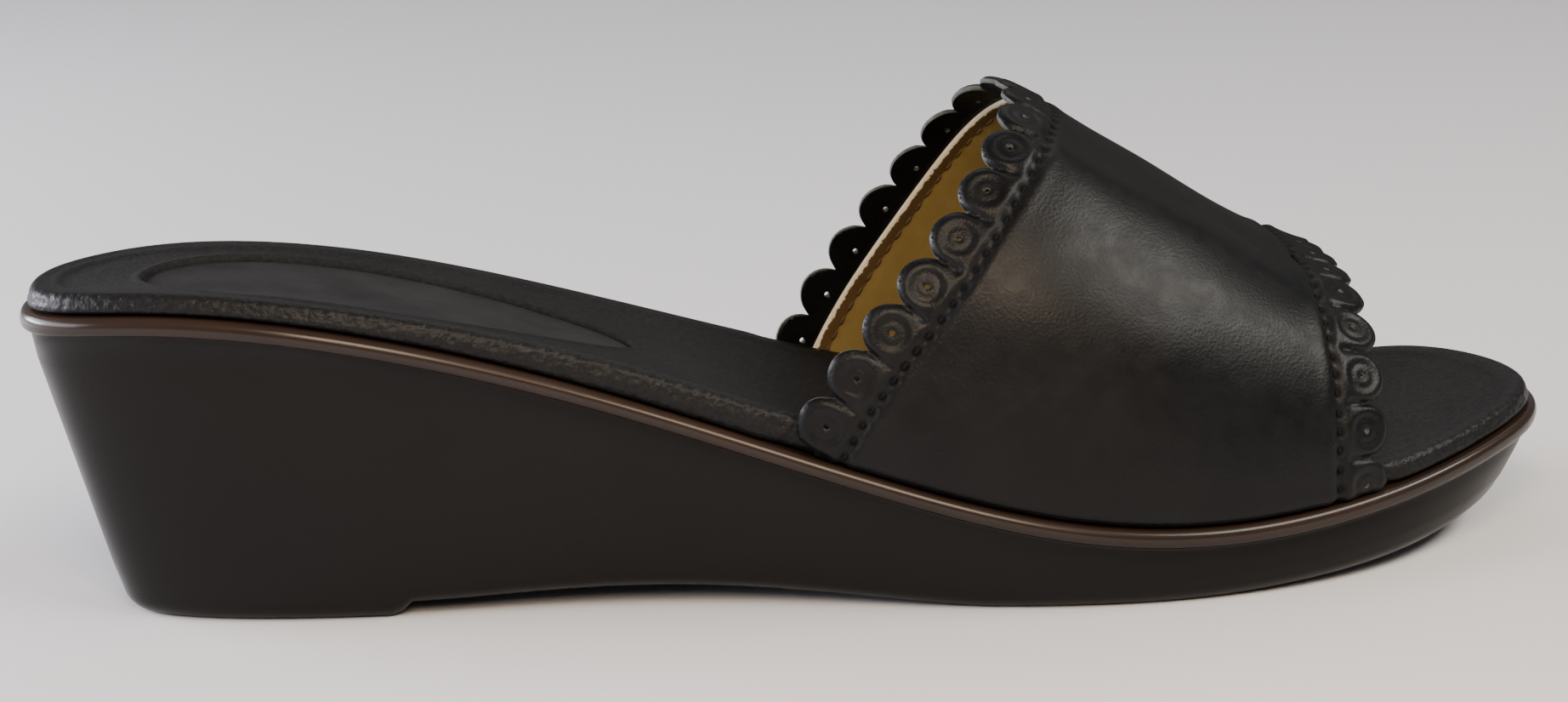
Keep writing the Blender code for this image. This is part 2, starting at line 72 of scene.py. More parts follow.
PAD_END = SEAT_TOP * math.tan(HEEL_RAKE) + PAD_LENGTH
PAD_STEP = 2.2
PAD_SLOPE = 3.0
ARCH_RISE = 2.6
ARCH_SHAPE = 1.4
ARCH_FRONT = 0.60 * LENGTH
TOE_SPRING = 6.0
TOE_SPRING_START = 0.70 * LENGTH
SOLE_STATIONS = 190
BOTTOM_STRIPS = 12
UNDERSIDE_DEPTH = 30.0

# The rim's widths from the axis, as shares of the ball width
OUTLINE = [
    # length  lateral  medial
    (0.04, 0.185, 0.200),
    (0.11, 0.252, 0.275),
    (0.22, 0.296, 0.312),
    (0.36, 0.318, 0.302),
    (0.50, 0.396, 0.335),
    (0.62, 0.484, 0.415),
    (0.72, 0.510, 0.470),
    (0.82, 0.462, 0.476),
    (0.90, 0.362, 0.430),
    (0.96, 0.236, 0.332),
]
LATERAL, MEDIAL = 1, 2

# Height of the seat, as shares of its top
SEAT = [
    # length  height
    (0.00, 0.980),
    (0.08, 1.000),
    (0.18, 0.952),
    (0.30, 0.808),
    (0.42, 0.614),
    (0.54, 0.416),
    (0.66, 0.272),
    (0.78, 0.242),
    (0.90, 0.305),
    (1.00, 0.394),
]

# Section of the lip: the way in as shares of its overhang, the way down of its height
LIP = [
    # in  down
    (0.55, 0.94),
    (0.22, 0.84),
    (0.05, 0.68),
    (0.00, 0.50),
    (0.10, 0.30),
    (0.40, 0.10),
    (0.95, 0.00),
    (1.60, 0.00),
    (4.50, 0.00),
]


def spline(rows, at):
    """Natural cubic through (position, value) rows."""
    x, y = (np.array(column, float) for column in zip(*rows))
    step = np.diff(x)
    slope = np.diff(y) / step
    system = np.eye(len(x))
    right = np.zeros(len(x))
    for i in range(1, len(x) - 1):
        system[i, i - 1 : i + 2] = step[i - 1], 2 * (step[i - 1] + step[i]), step[i]
        right[i] = 6 * (slope[i] - slope[i - 1])
    bend = np.linalg.solve(system, right)
    at = np.asarray(at, float)
    i = np.clip(np.searchsorted(x, at) - 1, 0, len(step) - 1)
    a, b = x[i + 1] - at, at - x[i]
    curve = (bend[i] * a**3 + bend[i + 1] * b**3) / (6 * step[i])
    line = (y[i] / step[i] - bend[i] * step[i] / 6) * a
    return curve + line + (y[i + 1] / step[i] - bend[i + 1] * step[i] / 6) * b


def half_width(share, column):
    """Rim's distance from the axis on the LATERAL or MEDIAL side."""
    angle = np.arccos(1 - 2 * np.clip(share, 0, 1))
    rows = [(0.0, math.sqrt(HEEL_END_RADIUS * LENGTH / 2))]
    for row in OUTLINE:
        turn = math.acos(1 - 2 * row[0])
        rows.append((turn / math.pi, row[column] * BALL_WIDTH / math.sin(turn)))
    rows.append((1.0, math.sqrt(TOE_END_RADIUS * LENGTH / 2)))
    return np.sin(angle) * spline(rows, angle / math.pi)


def seat_height(x):
    return spline(SEAT, np.clip(np.asarray(x) / LENGTH, 0, 1)) * SEAT_TOP


def rim_loop(stations):
    """The rim in plan, lateral side heel to toe and back, and its outward normals."""
    shares = (1 - np.cos(np.linspace(0, math.pi, stations))) / 2
    lateral = np.stack([shares * LENGTH, -half_width(shares, LATERAL)], 1)
    medial = np.stack([shares * LENGTH, half_width(shares, MEDIAL)], 1)
    loop = np.concatenate([lateral, medial[-2:0:-1]])
    along = np.roll(loop, -1, 0) - np.roll(loop, 1, 0)
    normal = np.stack([along[:, 1], -along[:, 0]], 1)
    return loop, normal / np.linalg.norm(normal, axis=1, keepdims=True)


def bump(distance, width):
    """Soft hump, 1 at distance 0."""
    return np.exp(-((distance / width) ** 2))


def smooth_step(value):
    value = np.clip(value, 0, 1)
    return value * value * (3 - 2 * value)


def underside_height(x):
    along = np.clip((x - PAD_END) / (ARCH_FRONT - PAD_END), 0, 1)
    arch = PAD_STEP * (1 - along) ** 2 + ARCH_RISE * np.sin(math.pi * along) ** ARCH_SHAPE
    toe = np.clip((x - TOE_SPRING_START) / (LENGTH - TOE_SPRING_START), 0, 1)
    return arch * smooth_step((x - PAD_END) / PAD_SLOPE) + TOE_SPRING * toe**2


low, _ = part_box("sole")
widest = half_width(np.linspace(0, 1, 2001), LATERAL).max()
ORIGIN = np.array([low[0] * 1000, low[1] * 1000 + widest, 0.0])


def make(name, points, faces, materials, slots=None, values=None):
    """A smooth mesh piece from points in millimetres, with float attributes on them."""
    mesh = bpy.data.meshes.new(name)
    mesh.from_pydata(((np.asarray(points) + ORIGIN) / 1000).tolist(), [], faces)
    for key, value in (values or {}).items():
        layer = mesh.attributes.new(key, "FLOAT", "POINT")
        layer.data.foreach_set("value", np.asarray(value, np.float32))
    for each in materials:
        mesh.materials.append(each)
    if slots is not None:
        mesh.polygons.foreach_set("material_index", np.asarray(slots, np.int32))
    mesh.shade_smooth()
    obj = bpy.data.objects.new(name, mesh)
    bpy.context.scene.collection.objects.link(obj)
    return obj


def bridge(lower, upper):
    """Quads between two loops of point numbers."""
    n = len(lower)
    return [(lower[i], lower[(i + 1) % n], upper[(i + 1) % n], upper[i]) for i in range(n)]


def build_sole(finish):
    rim, normal = rim_loop(SOLE_STATIONS)
    seat = seat_height(rim[:, 0])
    wall_top = seat - LIP_HEIGHT
    under = underside_height(rim[:, 0])
    back = np.clip(1 - rim[:, 0] / HEEL_RAKE_LENGTH, 0, 1) ** 2
    front = np.clip(1 - (LENGTH - rim[:, 0]) / TOE_RAKE_LENGTH, 0, 1) ** 2
    rake = back * math.tan(HEEL_RAKE) - front * math.tan(TOE_RAKE)
    rings, depths = [], []

    def wall(inset, height):
        flat = rim - normal * np.broadcast_to(inset, len(rim))[:, None]
        flat[:, 0] += rake * (wall_top - height)
        rings.append(np.column_stack([flat, np.broadcast_to(height, len(rim))]))
        depths.append(seat - height)

    def wall_inset(height):
        return LIP_OVERHANG + (wall_top - height) * math.tan(SIDE_DRAFT)

    for turn in np.linspace(0, math.pi / 2, 7):
        rounding = EDGE_RADIUS * (1 - math.sin(turn))
        wall(wall_inset(under) + rounding, under + EDGE_RADIUS * (1 - math.cos(turn)))
    foot = under + EDGE_RADIUS
    for share in np.linspace(0.1, 1.0, 9):
        height = foot + (wall_top - foot) * share
        fillet = LIP_FILLET * bump(height - wall_top, LIP_FILLET_REACH)
        wall(wall_inset(height) + fillet, height)
    for inward, down in LIP:
        flat = rim - normal * inward * LIP_OVERHANG
        drop = down * LIP_HEIGHT
        rings.append(np.column_stack([flat, seat_height(flat[:, 0]) - drop]))
        depths.append(np.full(len(rim), drop))
    n = len(rim)
    faces = []
    for k in range(len(rings) - 1):
        faces += bridge(range(k * n, k * n + n), range(k * n + n, k * n + 2 * n))
    points = list(np.concatenate(rings))
    depth = list(np.concatenate(depths))
    half = n // 2
    across = np.linspace(0, 1, BOTTOM_STRIPS + 1)[1:-1]
    numbers = [[0]]
    for i in range(1, half):
        row = [points[i] * (1 - s) + points[n - i] * s for s in across]
        numbers.append([i, *range(len(points), len(points) + len(row)), n - i])
        points += row
        depth += [UNDERSIDE_DEPTH] * len(row)
    numbers.append([half])
    for near, far in zip(numbers, numbers[1:]):
        for k in range(BOTTOM_STRIPS):
            if len(near) == 1:
                faces.append((near[0], far[k + 1], far[k]))
            elif len(far) == 1:
                faces.append((near[k], near[k + 1], far[0]))
            else:
                faces.append((near[k], near[k + 1], far[k + 1], far[k]))
    faces.append(tuple(range((len(rings) - 1) * n, len(rings) * n)))
    return make("sole_unit", points, faces, [finish], values={"below_rim": depth})


def linear(code):
    """Linear colour of an sRGB hex code."""
    parts = [int(code[i : i + 2], 16) / 255 for i in (0, 2, 4)]
    return [c / 12.92 if c < 0.04045 else ((c + 0.055) / 1.055) ** 2.4 for c in parts] + [1.0]


def new_material(name):
    made = bpy.data.materials.new(name)
    made.use_nodes = True
    made.node_tree.nodes.clear()
    return made, made.node_tree


def node(tree, kind, output, inputs, stops=(), **settings):
    """Adds a shader node with settings, values, links and stops, and gives an output."""
    made = tree.nodes.new("ShaderNode" + kind)
    for key, value in settings.items():
        setattr(made, key, value)
    for key, value in inputs.items():
        if isinstance(value, bpy.types.NodeSocket):
            tree.links.new(value, made.inputs[key])
        else:
            made.inputs[key].default_value = value
    for _ in stops[2:]:
        made.color_ramp.elements.new(0.5)
    for k, (place, code) in enumerate(stops):
        made.color_ramp.elements[k].position = place
        made.color_ramp.elements[k].color = linear(code)
    return made.outputs[output] if output else None


# Polyurethane straight from the mould: a near-black brown, redder on the lip where the skin is
# thin, with a band of painted shade under the lip, a wet-looking gloss and faint clouds of flow
LIP_RED_AND_SHADE_DEPTH = 26.0
ROUGH_NOISE = {"Detail": 4.0, "Roughness": 0.55}
SOFT_NOISE = {"Detail": 2.0, "Roughness": 0.55}
FLOW_CLOUDS = 38.0
GLOSS_CLOUDS = 14.0
WAVES = 9.0
PORES = 0.5
urethane, tree = new_material("polyurethane")
place = node(tree, "TexCoord", "Object", {})
below = node(tree, "Attribute", "Fac", {}, attribute_name="below_rim")
down = node(tree, "MapRange", "Result", {"Value": below, "From Max": LIP_RED_AND_SHADE_DEPTH})
# Red brown on the lip, then painted shade: the darkest stop, a few millimetres down, stands for the lip's
# shadow on the wall
lip_red_and_painted_shade = node(
    tree,
    "ValToRGB",
    "Color",
    {"Fac": down},
    stops=[(0.0, "36281f"), (0.1, "281c16"), (0.14, "080706"), (0.32, "110e0c"), (1.0, "0f0d0c")],
)
flow = node(tree, "TexNoise", "Fac", {"Vector": place, "Scale": 1000 / FLOW_CLOUDS, **ROUGH_NOISE})
flow = node(tree, "MapRange", "Result", {"Value": flow, "From Min": 0.35, "From Max": 0.7, "To Max": 0.45})
colour = node(tree, "Mix", "Result", {"Factor": flow, "A": lip_red_and_painted_shade, "B": linear("0d0b0a")}, data_type="RGBA")
gloss = node(tree, "TexNoise", "Fac", {"Vector": place, "Scale": 1000 / GLOSS_CLOUDS, **ROUGH_NOISE})
gloss = node(
    tree,
    "MapRange",
    "Result",
    {"Value": gloss, "From Min": 0.3, "From Max": 0.7, "To Min": 0.26, "To Max": 0.38},
)
skin = node(
    tree,
    "MapRange",
    "Result",
    {"Value": below, "From Min": 2.0, "From Max": 3.6, "To Min": 0.4, "To Max": 0.06},
)
pores = node(tree, "TexNoise", "Fac", {"Vector": place, "Scale": 1000 / PORES, **ROUGH_NOISE})
waves = node(tree, "TexNoise", "Fac", {"Vector": place, "Scale": 1000 / WAVES, **SOFT_NOISE})
relief = node(tree, "Bump", "Normal", {"Height": pores, "Distance": 0.02 / 1000, "Strength": 0.25})
relief = node(
    tree, "Bump", "Normal", {"Height": waves, "Distance": 0.25 / 1000, "Strength": 0.12, "Normal": relief}
)
shader = node(
    tree,
    "BsdfPrincipled",
    "BSDF",
    {
        "Base Color": colour,
        "Roughness": gloss,
        "Normal": relief,
        "IOR": 1.42,
        "Specular IOR Level": 0.2,
        "Coat Weight": skin,
        "Coat Roughness": 0.16,
    },
)
node(tree, "OutputMaterial", None, {"Surface": shader})

sole_unit = build_sole(urethane)
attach(sole_unit, "root")
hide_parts("sole")


# Insole: a foam pad on a fibre board in a thin black cover, glued to the seat. The cover
# is wrapped over the edge, where its grain opens, and a seam ridge runs inside the edge.
# It is narrower where the band's feet are turned in under it.
CLEARANCE = 0.3
INSOLE_THICKNESS = 5.4
INSOLE_INSET = 1.4
INSOLE_BULGE = 0.3
INSOLE_RADIUS = 1.6
INSOLE_DISH = 1.6
INSOLE_REST = 0.35
INSOLE_STATIONS = 170
INSOLE_GRID = 2.1
SEAM_INSET = 2.6
SEAM_RISE = 0.24
GROOVE_INSET = 4.4
GROOVE_DEPTH = 0.06
WRAP_END = 2.4
BAND_INSET = 0.3
LEATHER = 1.1
LINING = 0.6
CURVED_CLEARANCE = 0.45
LOBE_PITCH = 9.0
LOBE_ROUNDNESS = 0.512
REAR_LATERAL_FOOT = 122.0
REAR_MEDIAL_FOOT = 126.0
FRONT_FOOT = 208.3
PATCH_LENGTH = 77.0
PATCH_WIDTH = 32.0
PATCH_START = 19.5
PATCH_SLANT = 4.0
PATCH_FULLNESS = 0.22
POCKET_DEPTH = 1.5
POCKET_LIP = 0.30

# Thickness of the insole, as shares of the greatest
INSOLE = [
    # length  thickness
    (0.00, 0.60),
    (0.08, 0.60),
    (0.18, 0.64),
    (0.30, 0.80),
    (0.42, 0.96),
    (0.54, 1.00),
    (0.66, 0.94),
    (0.78, 0.78),
    (0.90, 0.64),
    (1.00, 0.60),
]


def insole_height(x):
    return CLEARANCE + spline(INSOLE, np.clip(np.asarray(x) / LENGTH, 0, 1)) * INSOLE_THICKNESS


def within(polygon, points):
    """Which points of the plane lie inside a polygon."""
    x, y = points[:, 0], points[:, 1]
    odd = np.zeros(len(points), bool)
    for (ax, ay), (bx, by) in zip(polygon, np.roll(polygon, -1, 0)):
        if ay != by:
            odd ^= ((ay > y) != (by > y)) & (x < ax + (y - ay) * (bx - ax) / (by - ay))
    return odd


def distance_to(loop, points):
    """Distance from each point to a closed loop."""
    best = np.full(len(points), 1e9)
    for a, b in zip(loop, np.roll(loop, -1, 0)):
        along = b - a
        share = np.clip(((points - a) @ along) / (along @ along), 0, 1)
        best = np.minimum(best, np.linalg.norm(points - a - share[:, None] * along, axis=1))
    return best


def fill(outline, loops, loose):
    """Triangles inside an outline, with closed loops and loose points kept in them."""
    points = [outline, *loops, loose]
    edges, first = [], 0
    for loop in points[:-1]:
        n = len(loop)
        edges += [(first + i, first + (i + 1) % n) for i in range(n)]
        first += n
    flat = [Vector(p) for p in np.concatenate(points)]
    spots, _, faces, origin, _, _ = delaunay_2d_cdt(flat, edges, [], 0, 1e-6)
    spots = np.array([tuple(p) for p in spots])
    faces = np.array(faces)
    faces = faces[within(outline, spots[faces].mean(axis=1))]
    number = {source: i for i, sources in enumerate(origin) for source in sources}
    ring = [number[i] for i in range(len(outline))]
    return spots, faces, ring


def grid_inside(loop, x_span, y_span, step):
    """Points of a square grid that lie a millimetre or more inside a loop."""
    x, y = np.meshgrid(np.arange(*x_span, step), np.arange(*y_span, step))
    points = np.stack([x, y], -1).reshape(-1, 2)
    points = points[within(loop, points)]
    return points[distance_to(loop, points) > 1.0]


def patch_outline(grow, count=110):
    """The heel patch's oval, fuller at its heel end, grown by some millimetres."""
    turn = np.linspace(0, 2 * math.pi, count, endpoint=False)
    x = PATCH_START + PATCH_LENGTH / 2 * (1 - np.cos(turn))
    y = -PATCH_WIDTH / 2 * np.sin(turn) * (1 + PATCH_FULLNESS * np.cos(turn))
    y -= PATCH_SLANT * (1 - np.cos(turn)) / 2
    loop = np.stack([x, y], 1)
    along = np.roll(loop, -1, 0) - np.roll(loop, 1, 0)
    normal = np.stack([along[:, 1], -along[:, 0]], 1)
    return loop + normal / np.linalg.norm(normal, axis=1, keepdims=True) * grow


def insole_side(rim):
    """Inset of the insole's side from the rim, deeper where the band passes it."""
    lobe = LOBE_PITCH * LOBE_ROUNDNESS + 2 * CLEARANCE
    rear_foot = np.where(rim[:, 1] < 0, REAR_LATERAL_FOOT, REAR_MEDIAL_FOOT) - lobe
    x = rim[:, 0]
    behind = smooth_step((x - rear_foot + 2.5) / 2)
    under_band = behind * smooth_step((FRONT_FOOT + lobe + 2.5 - x) / 2)
    deep = BAND_INSET + LEATHER + LINING + CURVED_CLEARANCE
    return INSOLE_INSET + (deep - INSOLE_INSET) * under_band + INSOLE_BULGE


rim, rim_normal = rim_loop(INSOLE_STATIONS)
side = insole_side(rim)
insole_edge = rim - rim_normal * (side + INSOLE_RADIUS)[:, None]
patch_edge = patch_outline(0.0)


def insole_surface(points):
    """Height of the insole's top: dished, with the seam ridge, without the patch."""
    inward = distance_to(insole_edge, points)
    share = points[:, 0] / LENGTH
    height = seat_height(points[:, 0]) + insole_height(points[:, 0])
    height -= INSOLE_DISH * (1 - 0.6 * share) * (1 - np.exp(-inward / 8.0))
    ridge = SEAM_RISE * bump(inward - SEAM_INSET, 0.8)
    return height + ridge - GROOVE_DEPTH * bump(inward - GROOVE_INSET, 0.9)


def build_insole(finish):
    rings = []

    def ring(inset, rise):
        flat = rim - rim_normal * np.broadcast_to(inset, len(rim))[:, None]
        rings.append(np.column_stack([flat, seat_height(flat[:, 0]) + rise]))

    top = insole_height(rim[:, 0])
    ring(side + 5.0, INSOLE_REST)
    ring(side + 0.5, INSOLE_REST)
    ring(side + 0.1, INSOLE_REST + 0.2)
    for share in (0.25, 0.5, 0.75):
        rise = INSOLE_REST + (top - INSOLE_RADIUS - INSOLE_REST) * share
        ring(side - INSOLE_BULGE * math.sin(math.pi * share), rise)
    for turn in np.linspace(0, math.pi / 2, 6)[:-1]:
        rounding = INSOLE_RADIUS * (1 - math.cos(turn))
        ring(side + rounding, top - INSOLE_RADIUS * (1 - math.sin(turn)))
    n = len(rim)
    faces = []
    for k in range(len(rings) - 1):
        faces += bridge(range(k * n, k * n + n), range(k * n + n, k * n + 2 * n))
    inner = [insole_edge - rim_normal * inset for inset in (0.7, 1.3, 1.9, 2.5, 3.1, 3.8, 4.6, 5.6)]
    oval = [patch_outline(grow) for grow in (2.2, 1.4, 0.8, 0.4, 0.12, 0.0, -0.12, -0.6)]
    grid = grid_inside(inner[-1], (3, LENGTH), (-45, 46), INSOLE_GRID)
    grid = grid[distance_to(patch_edge, grid) > 2.6]
    spots, triangles, edge = fill(insole_edge, [*inner, *oval], grid)
    height = insole_surface(spots)
    in_patch = within(patch_edge, spots)
    from_patch = distance_to(patch_edge, spots) * np.where(in_patch, -1, 1)
    height += POCKET_LIP * bump(from_patch - 0.75, 0.55)
    height -= POCKET_DEPTH * smooth_step((0.15 - from_patch) / 0.3)
    first = len(rings) * n
    points = np.concatenate([*rings, np.column_stack([spots, height])])
    wrap = smooth_step((WRAP_END - distance_to(insole_edge, spots)) / 1.6)
    faces += bridge(range(first - n, first), [first + i for i in edge])
    faces += [tuple(int(i) + first for i in face) for face in triangles]
    values = {"wrap": np.concatenate([np.ones(first), wrap])}
    return make("insole_cover", points, faces, [finish], values=values)


# Thin coated cloth, embossed with a fine pebble and matt. Stretched over the edge it is
# smoother and shinier, and its pebbles part to about three times their size.
PEBBLE = 0.42
STRETCHED_PEBBLE = 1.1
SPECKS = 0.7
MATT_PATCHES = 1.2
DUST = 24.0
cover, tree = new_material("insole_cover")
place = node(tree, "TexCoord", "Object", {})
wrapped = node(tree, "Attribute", "Fac", {}, attribute_name="wrap")
specks = node(
    tree, "TexNoise", "Fac", {"Vector": place, "Scale": 1000 / SPECKS, **ROUGH_NOISE, "Detail": 3.0}
)
specks = node(tree, "MapRange", "Result", {"Value": specks, "From Min": 0.4, "From Max": 0.65})
speckled = node(
    tree,
    "Mix",
    "Result",
    {"Factor": specks, "A": linear("141415"), "B": linear("212122")},
    data_type="RGBA",
)
dust = node(tree, "TexNoise", "Fac", {"Vector": place, "Scale": 1000 / DUST, **ROUGH_NOISE})
dust = node(tree, "MapRange", "Result", {"Value": dust, "From Min": 0.4, "From Max": 0.8, "To Max": 0.3})
dusty = node(
    tree, "Mix", "Result", {"Factor": dust, "A": speckled, "B": linear("2b2b2b")}, data_type="RGBA"
)
# Darker where the cover wraps over the edge
wrap_darkening = node(tree, "MapRange", "Result", {"Value": wrapped, "To Max": 0.5})
colour = node(
    tree, "Mix", "Result", {"Factor": wrap_darkening, "A": dusty, "B": linear("121213")}, data_type="RGBA"
)
matt = node(tree, "TexNoise", "Fac", {"Vector": place, "Scale": 1000 / MATT_PATCHES, **ROUGH_NOISE})
matt = node(
    tree,
    "MapRange",
    "Result",
    {"Value": matt, "From Min": 0.3, "From Max": 0.7, "To Min": 0.68, "To Max": 0.8},
)
shine = node(tree, "MapRange", "Result", {"Value": wrapped, "To Max": 0.3})
roughness = node(tree, "Math", "Value", {0: matt, 1: shine}, operation="SUBTRACT")
fine = node(tree, "TexVoronoi", "Distance", {"Vector": place, "Scale": 1000 / PEBBLE}, feature="SMOOTH_F1")
coarse = node(
    tree, "TexVoronoi", "Distance", {"Vector": place, "Scale": 1000 / STRETCHED_PEBBLE}, feature="SMOOTH_F1"
)
coarse = node(tree, "Math", "Value", {0: coarse, 1: wrapped}, operation="MULTIPLY")
relief = node(tree, "Bump", "Normal", {"Height": fine, "Distance": 0.09 / 1000, "Strength": 0.7})
relief = node(
    tree, "Bump", "Normal", {"Height": coarse, "Distance": 0.32 / 1000, "Strength": 0.7, "Normal": relief}
)
shader = node(
    tree,
    "BsdfPrincipled",
    "BSDF",
    {
        "Base Color": colour,
        "Roughness": roughness,
        "Normal": relief,
        "IOR": 1.38,
        "Specular IOR Level": 0.3,
    },
)
node(tree, "OutputMaterial", None, {"Surface": shader})

insole_cover = build_insole(cover)
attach(insole_cover, "root")
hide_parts("insole")


# Heel patch: an oval of smooth coated sheet, stamped out and heat sealed into the
# insole, so that its rim is pressed down; a painted highlight makes the rim paler.
PATCH_DEPTH = 0.6
PATCH_GRID = 2.2
PATCH_SKIRT = 0.5
RIM_PRESS = 0.55
RIM_BEAD = 0.10


def build_patch(finish):
    loops = [patch_outline(grow) for grow in (-0.22, -0.5, -0.9, -1.6, -2.6)]
    grid = grid_inside(loops[-1], (15, 100), (-28, 20), PATCH_GRID)
    spots, triangles, ring = fill(patch_outline(-0.15), loops, grid)
    inward = distance_to(patch_edge, spots)
    height = insole_surface(spots) - PATCH_DEPTH
    height -= RIM_PRESS * (1 - smooth_step((inward - 0.1) / 0.8))
    height += RIM_BEAD * bump(inward - 1.3, 0.6)
    points = np.column_stack([spots, height])
    skirt = points[ring] - np.array([0, 0, PATCH_SKIRT])
    faces = [tuple(int(i) for i in face) for face in triangles]
    faces += bridge(range(len(points), len(points) + len(ring)), ring)
    # Mask for the painted highlight round the patch's rim
    rim_highlight_mask = np.concatenate([smooth_step((1.0 - inward) / 0.8), np.ones(len(ring))])
    points = np.concatenate([points, skirt])
    return make("patch_sheet", points, faces, [finish], values={"rim": rim_highlight_mask})


# Satin polyurethane sheet, calendered smooth: an even dull sheen, faintly clouded by
# handling and wear, with a painted highlight along its rim
WEAR_CLOUDS = 16.0
SHEEN_CLOUDS = 5.0
SHEET_GRAIN = 0.35
SHEET_WAVES = 7.0
satin, tree = new_material("satin_sheet")
place = node(tree, "TexCoord", "Object", {})
wear = node(tree, "TexNoise", "Fac", {"Vector": place, "Scale": 1000 / WEAR_CLOUDS, **ROUGH_NOISE})
wear = node(tree, "MapRange", "Result", {"Value": wear, "From Min": 0.35, "From Max": 0.75})
clouded = node(
    tree, "Mix", "Result", {"Factor": wear, "A": linear("1f1f20"), "B": linear("303031")}, data_type="RGBA"
)
# Painted highlight: the rim is mixed towards pale grey, where it catches the light
painted_rim_highlight = node(tree, "Attribute", "Fac", {}, attribute_name="rim")
painted_rim_highlight = node(tree, "MapRange", "Result", {"Value": painted_rim_highlight, "To Max": 0.5})
colour = node(
    tree, "Mix", "Result", {"Factor": painted_rim_highlight, "A": clouded, "B": linear("3c3c3c")}, data_type="RGBA"
)
sheen = node(tree, "TexNoise", "Fac", {"Vector": place, "Scale": 1000 / SHEEN_CLOUDS, **ROUGH_NOISE})
sheen = node(
    tree,
    "MapRange",
    "Result",
    {"Value": sheen, "From Min": 0.3, "From Max": 0.7, "To Min": 0.42, "To Max": 0.56},
)
grain = node(tree, "TexNoise", "Fac", {"Vector": place, "Scale": 1000 / SHEET_GRAIN, **ROUGH_NOISE})
waves = node(tree, "TexNoise", "Fac", {"Vector": place, "Scale": 1000 / SHEET_WAVES, **SOFT_NOISE})
relief = node(tree, "Bump", "Normal", {"Height": grain, "Distance": 0.05 / 1000, "Strength": 0.5})
relief = node(
    tree, "Bump", "Normal", {"Height": waves, "Distance": 0.3 / 1000, "Strength": 0.15, "Normal": relief}
)
shader = node(
    tree,
    "BsdfPrincipled",
    "BSDF",
    {
        "Base Color": colour,
        "Roughness": sheen,
        "Normal": relief,
        "IOR": 1.38,
        "Specular IOR Level": 0.22,
    },
)
node(tree, "OutputMaterial", None, {"Surface": shader})

patch_sheet = build_patch(satin)
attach(patch_sheet, "root")
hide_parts("heel_patch")


# Band: one piece of smooth black leather, lasted over the foot's shape and turned under
# the insole at both feet. Round lobes are die cut along its front and back edges, each
# pressed with rings round a pinhole, and its seam is pulled in by the stitches.
CORNER = 2.0
MARGIN = 5.0
REAR_SWING = 26.0
REAR_BOW = 12.0
FRONT_SWING = 0.5
CREST_OFFSET = 2.0
REAR_FULLNESS = 2.1
FRONT_FULLNESS = 2.6
CREST_TOP = 78.0
REAR_FIRST_LOBE = 3.5
FRONT_FIRST_LOBE = 0.0
PINHOLE = 0.48
STITCH_LINE = 4.8
STITCHES_PER_LOBE = 3
FORM_START = 104.0
FORM_END = 228.0
FORM_STEP = 0.75
FORM_SHARES = 240
FINE_SPACING = 0.5
COARSE_SPACING = 1.0
FINE_REACH = 9.0

# Crest of the band over the foot, as shares of its greatest height
CREST = [
    # length  height
    (0.60, 0.982),
    (0.63, 0.988),
    (0.66, 0.952),
    (0.70, 0.868),
    (0.74, 0.787),
    (0.78, 0.700),
    (0.82, 0.623),
    (0.86, 0.570),
]


